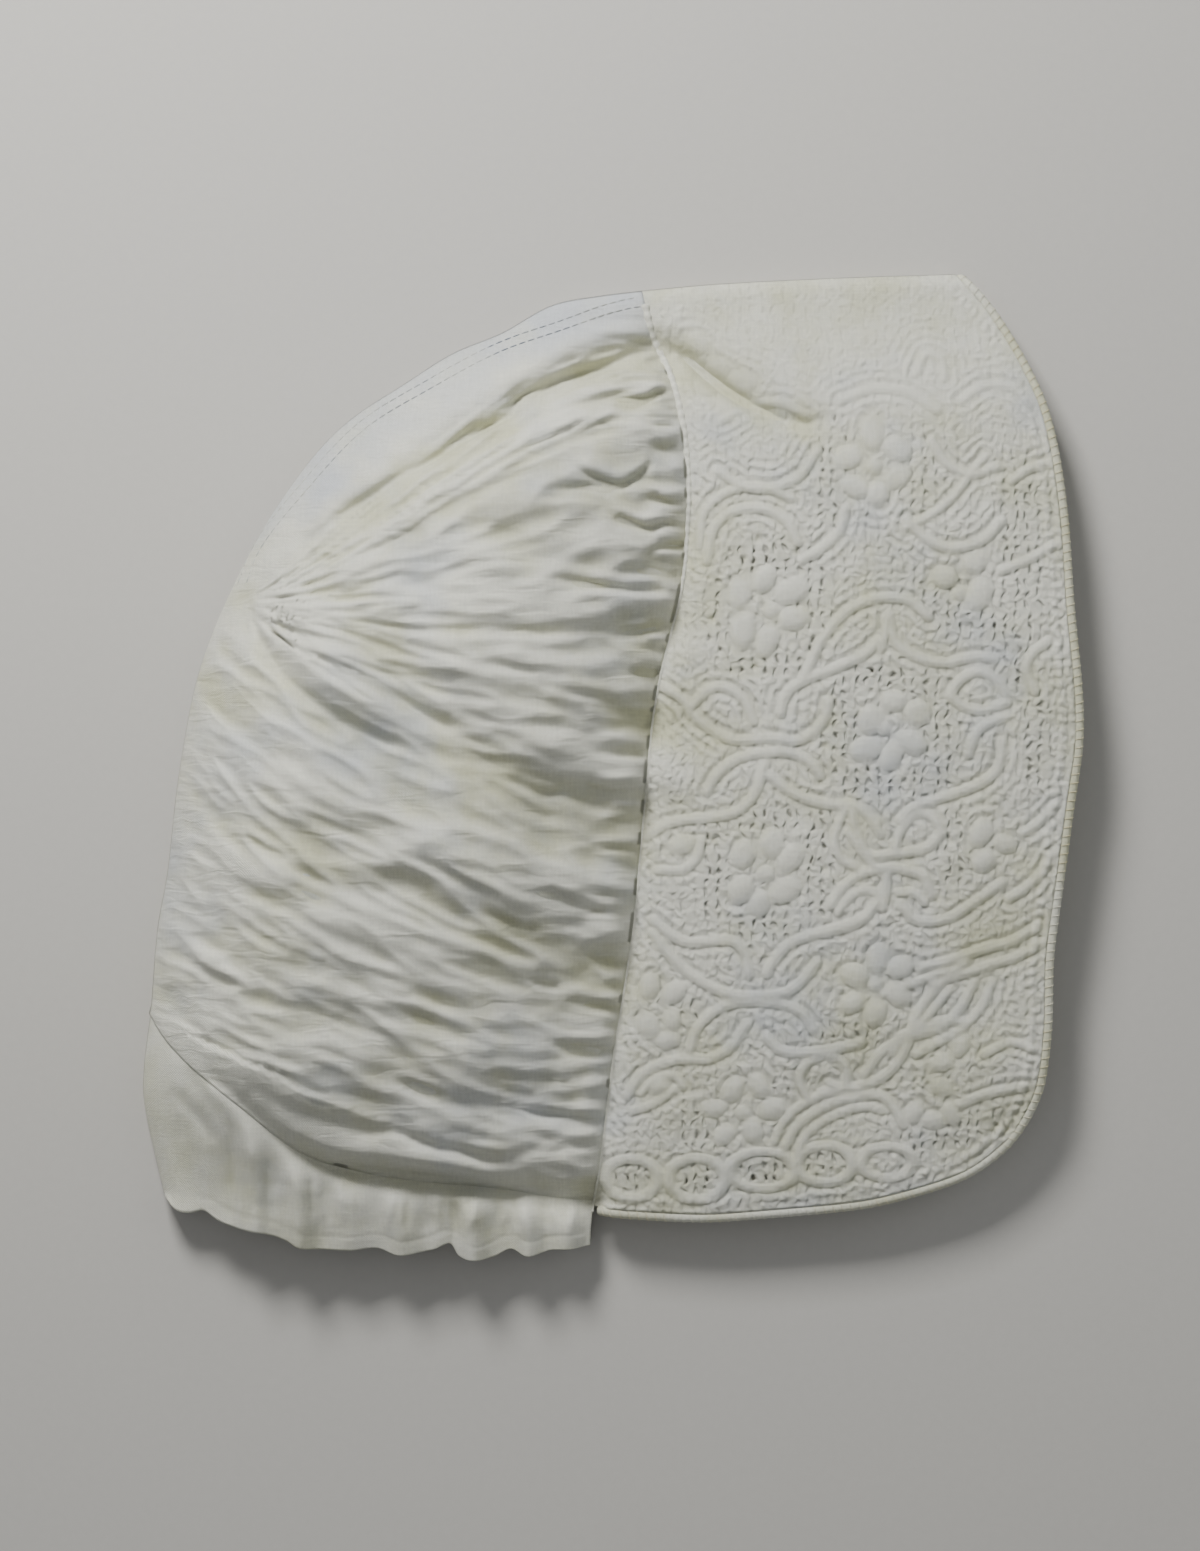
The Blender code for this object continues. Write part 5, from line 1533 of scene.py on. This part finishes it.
def brim_linen(look):
    """Two layers of linen quilted with cord and stuffing, the ground drawn into small dents.

    The dents are about 2.7 by 2.6 mm apart, and where the threads are pulled they open to holes,
    painted dark as painted shade. The cloth between them stands up in small soft pebbles, and
    the dents are darkened a little with painted shade.
    """
    material, made = aged_linen("Corded and stuffed quilting linen", look, streak=0.35,
                                tint_shift=-0.03)
    tree = material.node_tree
    out = add_node(tree, "ShaderNodeAttribute", attribute_name="from_work").outputs["Fac"]
    drawn = add_node(tree, "ShaderNodeAttribute", attribute_name="drawn").outputs["Fac"]
    kept = add_node(tree, "ShaderNodeAttribute", attribute_name="kept").outputs["Fac"]
    open_ground = add_node(tree, RANGE, {0: out, 1: 0.0, 2: 0.6, 3: 0.2})
    shake = add_node(tree, NOISE, {"Vector": made["mm"], "Scale": 0.28, "Detail": 2.0})
    drift = add_node(tree, VECTOR, {0: shake.outputs["Color"], 1: (0.5, 0.5, 0.5)},
                     operation="SUBTRACT")
    place = add_node(tree, VECTOR, {0: drift, 1: (3.0, 3.0, 0), 2: made["mm"]},
                     operation="MULTIPLY_ADD")
    cells = add_node(tree, VECTOR, {0: place, 1: (1 / 2.7, 1 / 2.6, 0)}, operation="MULTIPLY")
    cell = add_node(tree, VECTOR, {0: cells}, operation="FLOOR")
    within = add_node(tree, VECTOR, {0: cells}, operation="FRACTION")
    chance = add_node(tree, "ShaderNodeTexWhiteNoise", {"Vector": cell}, noise_dimensions="2D")
    strayed = add_node(tree, VECTOR, {0: chance.outputs["Color"], 1: (0.30, 0.30, 0),
                                      2: (0.35, 0.35, 0)}, operation="MULTIPLY_ADD")
    away = add_node(tree, VECTOR, {0: within, 1: strayed}, operation="SUBTRACT")
    narrow = add_node(tree, VECTOR, {0: away, 1: (1.55, 0.80, 0)}, operation="MULTIPLY")
    distance = add_node(tree, VECTOR, {0: narrow}, operation="LENGTH")
    dent = add_node(tree, RANGE, {0: distance.outputs["Value"], 1: 0.04, 2: 0.40, 3: 1.0, 4: 0.0},
                    interpolation_type="SMOOTHSTEP")
    hole_shade = add_node(tree, RANGE, {0: distance.outputs["Value"], 1: 0.10, 2: 0.24, 3: 1.0, 4: 0.0},
                    interpolation_type="SMOOTHSTEP")
    pulled = add_node(tree, RANGE, {0: chance.outputs["Value"], 1: 0.42, 2: 0.95, 3: 0.0, 4: 1.0})
    opened = add_node(tree, MATH, {0: pulled, 1: drawn}, operation="MULTIPLY")
    # Painted shade: the opened holes are painted dark.
    dark = add_node(tree, MATH, {0: opened, 1: hole_shade}, operation="MULTIPLY")
    pebbles = add_node(tree, "ShaderNodeTexVoronoi", {"Vector": place, "Scale": 0.62,
                                                      "Smoothness": 0.5}, feature="SMOOTH_F1")
    # Heights in millimetres.
    pebbled = add_node(tree, MATH, {0: pebbles.outputs["Distance"], 1: -0.46},
                       operation="MULTIPLY")
    depth = add_node(tree, MATH, {0: drawn, 1: -0.40, 2: -0.22}, operation="MULTIPLY_ADD")
    ground = add_node(tree, MATH, {0: dent, 1: depth, 2: pebbled}, operation="MULTIPLY_ADD")
    fading = add_node(tree, MATH, {0: open_ground, 1: kept}, operation="MULTIPLY")
    height = add_node(tree, MATH, {0: ground, 1: fading, 2: made["height"]},
                      operation="MULTIPLY_ADD")
    tree.links.new(height.outputs[0], made["bump"].inputs["Height"])
    soft = add_node(tree, MATH, {0: dent, 1: fading}, operation="MULTIPLY")
    shade = add_node(tree, RANGE, {0: soft, 1: 0.0, 2: 1.0, 3: 1.0, 4: 0.88})
    dimmed = add_node(tree, VECTOR, {0: made["colour"], "Scale": shade}, operation="SCALE")
    holed = add_node(tree, MIX, {0: dark, COLOUR_A: dimmed, COLOUR_B: (*look.hole_shade, 1)},
                     data_type="RGBA")
    tree.links.new(holed.outputs[COLOUR_OUT], made["shader"].inputs["Base Color"])
    return material


def casing_linen(look):
    """The casing's linen, yellower than the rest, where the string ran and the nape lay, with the
    same painted shade in the hollows of its folds.
    """
    return aged_linen("Yellowed gathered linen", look, tint_shift=0.02)[0]


def linen_thread(name, colour, look):
    """Two-ply linen sewing thread: matt, with its twist just showing."""
    material, tree, shader = new_material(name)
    place = add_node(tree, "ShaderNodeTexCoord")
    mm = add_node(tree, "ShaderNodeMapping", {"Vector": place.outputs["Object"],
                                              "Scale": MILLIMETRES})
    twist = add_node(tree, NOISE, {"Vector": mm, "Scale": 1.6, "Detail": 3.0})
    age = add_node(tree, NOISE, {"Vector": mm, "Scale": 0.05, "Detail": 3.0})
    aged = add_node(tree, RANGE, {0: age, 1: 0.35, 2: 0.7})
    mixed = add_node(tree, MIX, {0: aged, COLOUR_A: (*colour, 1), COLOUR_B: (*look.linen, 1)},
                     data_type="RGBA")
    tone = add_node(tree, RANGE, {0: twist, 1: 0.3, 2: 0.7, 3: 0.85, 4: 1.06})
    worn_colour = add_node(tree, VECTOR, {0: mixed.outputs[COLOUR_OUT], "Scale": tone},
                           operation="SCALE")
    rough = add_node(tree, RANGE, {0: twist, 1: 0.3, 2: 0.7, 3: 0.78, 4: 0.92})
    bumped = add_node(tree, "ShaderNodeBump", {"Height": twist, "Strength": 1.0,
                                               "Distance": 0.00012})
    tree.links.new(rough.outputs[0], shader.inputs["Roughness"])
    tree.links.new(bumped.outputs[0], shader.inputs["Normal"])
    tree.links.new(worn_colour.outputs[0], shader.inputs["Base Color"])
    return material


def painted_board(look):
    """The floor: a pale board under matt paint, with a faint roller texture."""
    material, tree, shader = new_material("Matt painted board")
    place = add_node(tree, "ShaderNodeTexCoord")
    mm = add_node(tree, "ShaderNodeMapping", {"Vector": place.outputs["Object"],
                                              "Scale": MILLIMETRES})
    roller = add_node(tree, NOISE, {"Vector": mm, "Scale": 0.5, "Detail": 3.0})
    tone = add_node(tree, RANGE, {0: roller, 1: 0.3, 2: 0.7, 3: 0.985, 4: 1.01})
    floor_colour = add_node(tree, VECTOR, {0: (*look.floor,), "Scale": tone}, operation="SCALE")
    rough = add_node(tree, RANGE, {0: roller, 1: 0.3, 2: 0.7, 3: 0.86, 4: 0.94})
    tree.links.new(rough.outputs[0], shader.inputs["Roughness"])
    tree.links.new(floor_colour.outputs[0], shader.inputs["Base Color"])
    return material


class NightcapSizes(bpy.types.PropertyGroup):
    """Sizes of the nightcap's cloths, in metres."""

    crown_wall: bpy.props.FloatProperty(
        name="Crown cloth", description="Thickness of the crown's linen",
        default=CROWN_WALL, min=0.0008, max=0.003, unit="LENGTH", precision=5)
    brim_wall: bpy.props.FloatProperty(
        name="Brim quilting", description="Thickness of the brim's two layers and stuffing",
        default=BRIM_WALL, min=0.001, max=0.004, unit="LENGTH", precision=5)
    casing_wall: bpy.props.FloatProperty(
        name="Casing cloth", description="Thickness of the casing's doubled linen",
        default=CASING_WALL, min=0.0008, max=0.003, unit="LENGTH", precision=5)
    edge_diameter: bpy.props.FloatProperty(
        name="Edge roll", description="Diameter of the whipped roll round the face",
        default=BINDING_DIAMETER, min=0.001, max=0.005, unit="LENGTH", precision=5)
    thread: bpy.props.FloatProperty(
        name="Whipping thread", description="Thickness of the thread round the edge roll",
        default=WHIP_THREAD, min=0.0002, max=0.001, unit="LENGTH", precision=5)


class NightcapLook(bpy.types.PropertyGroup):
    """Colours of the nightcap and of what it lies on."""

    linen: bpy.props.FloatVectorProperty(
        name="Linen", description="The bleached linen where it is cleanest",
        default=linear("#DDDDD1"), subtype="COLOR", min=0, max=1)
    # This colour is the linen's own yellowing, and it is also laid in the hollows of the folds as
    # painted shade.
    yellowed_and_shade: bpy.props.FloatVectorProperty(
        name="Yellowed linen", description="The linen where age has turned it warm",
        default=linear("#CBCBAF"), subtype="COLOR", min=0, max=1)
    # This colour is the linen's own bluish tone in patches, and it is also laid along the crown's
    # back fold as painted shade.
    blued_and_shade: bpy.props.FloatVectorProperty(
        name="Blued linen", description="The linen where laundry blue has stayed in it",
        default=linear("#C5C9CD"), subtype="COLOR", min=0, max=1)
    # The holes are painted in this colour, as painted shade.
    hole_shade: bpy.props.FloatVectorProperty(
        name="Holes", description="The shade inside the pulled-thread holes",
        default=linear("#4B4A40"), subtype="COLOR", min=0, max=1)
    whipping: bpy.props.FloatVectorProperty(
        name="Whipping", description="The thread that whips the edge",
        default=linear("#D0C8A4"), subtype="COLOR", min=0, max=1)
    top_thread: bpy.props.FloatVectorProperty(
        name="Top stitches", description="The thread of the stitches below the top fold",
        default=linear("#737B86"), subtype="COLOR", min=0, max=1)
    floor: bpy.props.FloatVectorProperty(
        name="Floor", description="The pale floor",
        default=linear("#C6C4BF"), subtype="COLOR", min=0, max=1)


class NIGHTCAP_OT_crown(bpy.types.Operator):
    """Build the gathered crown"""

    bl_idname = "nightcap.crown"
    bl_label = "Crown"

    def execute(self, context):
        wall = context.scene.nightcap_sizes.crown_wall
        grid, on_fold, rims = crown_grid()
        upper = upper_height(grid.reshape(-1, 2), wall)
        crown = folded_cloth("crown_cloth", grid, on_fold, rims, upper, wall, crown_relief)
        chart_map(crown)
        plan = vertices(crown)[:, :2]
        # Painted shade in the hollows of the folds.
        mark(crown, "hollow_shade", hollows(plan, crown_relief))
        # Painted shade, bluish grey, in a strip along the back fold from the whorl up.
        from_fold, _ = nearest(plan, FOLD_LINE)
        from_nape = plan[:, 1] - place(BACK_FOLD[WHORL_ROW])[1]
        blued_and_shade = eased((FOLD_SHADE_REACH - from_fold) / FOLD_SHADE_FADE) * eased(from_nape / FOLD_SHADE_RISE)
        mark(crown, "blued_and_shade", blued_and_shade)
        finish_piece(crown, crown_linen(context.scene.nightcap_look))
        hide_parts("crown")
        return {"FINISHED"}


class NIGHTCAP_OT_brim(bpy.types.Operator):
    """Build the corded and stuffed brim"""

    bl_idname = "nightcap.brim"
    bl_label = "Brim"

    def execute(self, context):
        wall = context.scene.nightcap_sizes.brim_wall
        grid, on_fold, rims = brim_grid()
        upper = upper_height(grid.reshape(-1, 2), wall)
        brim = folded_cloth("brim_quilting", grid, on_fold, rims, upper, wall, brim_relief)
        chart_map(brim)
        plan = vertices(brim)[:, :2]
        _, out, drawn = whitework(plan)
        mark(brim, "from_work", out * 1000)
        mark(brim, "drawn", drawn)
        mark(brim, "kept", worn(plan))
        # Painted shade in the hollows of the folds.
        mark(brim, "hollow_shade", hollows(plan, brim_relief))
        finish_piece(brim, brim_linen(context.scene.nightcap_look))
        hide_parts("brim")
        return {"FINISHED"}


class NIGHTCAP_OT_casing(bpy.types.Operator):
    """Build the fluted casing at the nape"""

    bl_idname = "nightcap.casing"
    bl_label = "Casing"

    def execute(self, context):
        wall = context.scene.nightcap_sizes.casing_wall
        grid, on_fold, rims = casing_grid()
        upper = casing_height(grid.reshape(-1, 2))
        casing = folded_cloth("casing_cloth", grid, on_fold, rims, upper, wall, casing_relief)
        chart_map(casing)
        # Painted shade in the hollows of the folds.
        mark(casing, "hollow_shade", hollows(vertices(casing)[:, :2], casing_relief))
        finish_piece(casing, casing_linen(context.scene.nightcap_look))
        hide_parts("nape_casing")
        return {"FINISHED"}


class NIGHTCAP_OT_edge(bpy.types.Operator):
    """Build the whipped roll round the brim's free edge"""

    bl_idname = "nightcap.edge"
    bl_label = "Whipped edge"

    def execute(self, context):
        sizes, look = context.scene.nightcap_sizes, context.scene.nightcap_look
        radius = 0.5 * sizes.edge_diameter
        route = binding_route(radius)
        walked = np.arange(len(route)) * BINDING_STEP
        pinch = np.cos(2 * np.pi * walked / WHIP_STEP)
        roll = tube("edge_roll", route, radius * (ROLL_WAIST + ROLL_NIP * pinch), 3)
        fine = along_line(route, np.linspace(0, 1, THREAD_STEPS * len(route)))
        walked = np.linspace(0, walked[-1], len(fine))
        sides, ups = frames_along(fine)
        turn = 2 * np.pi * walked / WHIP_STEP
        out = radius - THREAD_SUNK * sizes.thread
        thread = fine + out * (np.cos(turn)[:, None] * sides + np.sin(turn)[:, None] * ups)
        thread[:, 2] = np.maximum(thread[:, 2], 0.5 * sizes.thread)
        whipping = tube("edge_whipping", thread, 0.5 * sizes.thread, 0)
        finish_piece(roll, linen_thread("Rolled linen edge", look.yellowed_and_shade, look))
        finish_piece(whipping, linen_thread("Whipping thread", look.whipping, look))
        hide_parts("edge_binding")
        return {"FINISHED"}


def over_upper(flat, wall, relief):
    """Points on the dressed upper layer above these plan points."""
    return np.column_stack([flat, upper_height(flat, wall) + relief(flat)])


class NIGHTCAP_OT_stitching(bpy.types.Operator):
    """Build the seam between crown and brim, and the stitches below the top fold"""

    bl_idname = "nightcap.stitching"
    bl_label = "Seam and stitches"

    def execute(self, context):
        sizes, look = context.scene.nightcap_sizes, context.scene.nightcap_look
        self.seam(look)
        self.top_stitches(sizes, look)
        return {"FINISHED"}

    def seam(self, look):
        """A whipped ridge along the seam, stout at the top and thin at the nape."""
        line = SEAM_LINE[SEAM_LINE[:, 1] > JAW_LINE[0, 1]]
        until = until_near(line, FOLD_LINE, FOLD_ROUND)
        flat = along_line(until, np.linspace(0, 1, SEAM_STEPS))
        share = np.linspace(0, 1, len(flat))
        swell = eased((share - SEAM_SWELL) / SEAM_SWELL_RUN)
        radius = SEAM_ROLL_FOOT + (SEAM_ROLL_TOP - SEAM_ROLL_FOOT) * swell
        pinch = np.cos(2 * np.pi * share * SEAM_RUN / WHIP_STEP)
        radii = radius * (1 + SEAM_NIP * pinch)
        rise = upper_height(flat, CROWN_WALL) - SEAM_SUNK * radius
        route = np.column_stack([flat, rise])
        ridge = tube("seam_ridge", route, radii, 2)
        finish_piece(ridge, linen_thread("Whipped linen seam", look.linen, look))

    def top_stitches(self, sizes, look):
        """Two rows of running stitches, each stitch a small rounded bar on the cloth."""
        middle = chart_route(TOP_STITCHES, TOP_STITCH_STEPS)
        rows, stops = [], []
        for side in (-0.5, 0.5):
            line = shifted(middle, side * TOP_STITCH_SPREAD * CHART_SQUARE)
            length = np.linalg.norm(np.diff(line, axis=0), axis=1).sum()
            count = int(length / STITCH_STEP)
            starts = (np.arange(count) + 0.5 * (side > 0)) * STITCH_STEP / length
            rows.append(along_line(line, starts))
            stops.append(along_line(line, np.minimum(1, starts + STITCH_LENGTH / length)))
        starts = over_upper(np.vstack(rows), sizes.crown_wall, crown_relief)
        stops = over_upper(np.vstack(stops), sizes.crown_wall, crown_relief)
        deselect()
        bpy.ops.mesh.primitive_uv_sphere_add(segments=6, ring_count=5, radius=0.5)
        pattern = bpy.context.active_object
        shape = vertices(pattern)
        made = [pattern]
        for _ in starts[1:]:
            copy = pattern.copy()
            copy.data = pattern.data.copy()
            bpy.context.scene.collection.objects.link(copy)
            made.append(copy)
        for stitch, start, stop in zip(made, starts, stops):
            run = stop - start
            long = np.linalg.norm(run)
            along = run / long
            side = np.cross((0, 0, 1), along)
            side /= np.linalg.norm(side)
            up = np.cross(along, side)
            placed = 0.5 * (start + stop) + shape[:, :1] * long * along
            placed = placed + shape[:, 1:2] * STITCH_THICKNESS * side
            placed = placed + shape[:, 2:] * STITCH_THICKNESS * up
            move_vertices(stitch, placed)
        activate(*made)
        bpy.ops.object.join()
        pattern.name = "top_stitches"
        finish_piece(pattern, linen_thread("Greyed linen thread", look.top_thread, look))


Lamp = namedtuple("Lamp", "name place size power colour")

LAMPS = [
    Lamp("Key light", (-0.22, 0.52, 0.46), 0.22, 6.4, (1.0, 0.99, 0.965)),
    Lamp("Fill light", (1.00, 0.40, 0.60), 1.0, 2.2, (0.95, 0.98, 1.0)),
    Lamp("Top light", (-0.35, -0.1, 1.4), 1.2, 1.6, (1.0, 1.0, 1.0)),
]
LIT_PLACE = (0, 0, 0.01)
SKY_STRENGTH = 0.22
CAMERA_PLACE = (-0.0026, -0.0025, 0.876)  # straight above the cap
CAMERA_LENS = 85
SENSOR_WIDTH = 36


class NIGHTCAP_OT_stage(bpy.types.Operator):
    """Build the floor, the lights and the camera"""

    bl_idname = "nightcap.stage"
    bl_label = "Floor, lights and camera"

    def execute(self, context):
        look = context.scene.nightcap_look
        deselect()
        bpy.ops.mesh.primitive_grid_add(x_subdivisions=8, y_subdivisions=8, size=4)
        floor = bpy.context.active_object
        floor.name = "floor"
        floor.data.materials.append(painted_board(look))
        for lamp in LAMPS:
            self.light(lamp)
        world = context.scene.world or bpy.data.worlds.new("Pale studio")
        context.scene.world = world
        world.use_nodes = True
        sky = world.node_tree.nodes["Background"]
        sky.inputs["Color"].default_value = (*linear("#E6E8EA"), 1)
        sky.inputs["Strength"].default_value = SKY_STRENGTH
        camera = bpy.data.objects.new("Camera", bpy.data.cameras.new("Camera"))
        context.scene.collection.objects.link(camera)
        camera.location = CAMERA_PLACE
        camera.data.lens = CAMERA_LENS
        camera.data.sensor_width = SENSOR_WIDTH
        camera.data.clip_start = 0.05
        camera.data.clip_end = 20
        context.scene.camera = camera
        return {"FINISHED"}

    def light(self, lamp):
        """A square soft light that points at the cap."""
        light = bpy.data.lights.new(lamp.name, "AREA")
        light.size = lamp.size
        light.energy = lamp.power
        light.color = lamp.colour
        holder = bpy.data.objects.new(lamp.name, light)
        bpy.context.scene.collection.objects.link(holder)
        holder.location = lamp.place
        way = Vector(LIT_PLACE) - Vector(lamp.place)
        holder.rotation_euler = way.to_track_quat("-Z", "Y").to_euler()


class NIGHTCAP_PT_panel(bpy.types.Panel):
    """The nightcap's sizes, colours and building steps"""

    bl_label = "Whitework nightcap"
    bl_idname = "NIGHTCAP_PT_panel"
    bl_space_type = "VIEW_3D"
    bl_region_type = "UI"
    bl_category = "Nightcap"

    def draw(self, context):
        layout = self.layout
        for group in (context.scene.nightcap_sizes, context.scene.nightcap_look):
            box = layout.box()
            for name in group.__annotations__:
                box.prop(group, name)
        for operator in OPERATORS:
            layout.operator(operator.bl_idname)


OPERATORS = (
    NIGHTCAP_OT_stage,
    NIGHTCAP_OT_crown,
    NIGHTCAP_OT_brim,
    NIGHTCAP_OT_casing,
    NIGHTCAP_OT_edge,
    NIGHTCAP_OT_stitching,
)
CLASSES = (NightcapSizes, NightcapLook, *OPERATORS, NIGHTCAP_PT_panel)


def register():
    for each in CLASSES:
        bpy.utils.register_class(each)
    bpy.types.Scene.nightcap_sizes = bpy.props.PointerProperty(type=NightcapSizes)
    bpy.types.Scene.nightcap_look = bpy.props.PointerProperty(type=NightcapLook)


def unregister():
    del bpy.types.Scene.nightcap_look
    del bpy.types.Scene.nightcap_sizes
    for each in reversed(CLASSES):
        bpy.utils.unregister_class(each)


def main():
    register()
    bpy.ops.nightcap.stage()
    bpy.ops.nightcap.crown()
    bpy.ops.nightcap.brim()
    bpy.ops.nightcap.casing()
    bpy.ops.nightcap.edge()
    bpy.ops.nightcap.stitching()


if __name__ == "__main__":
    main()
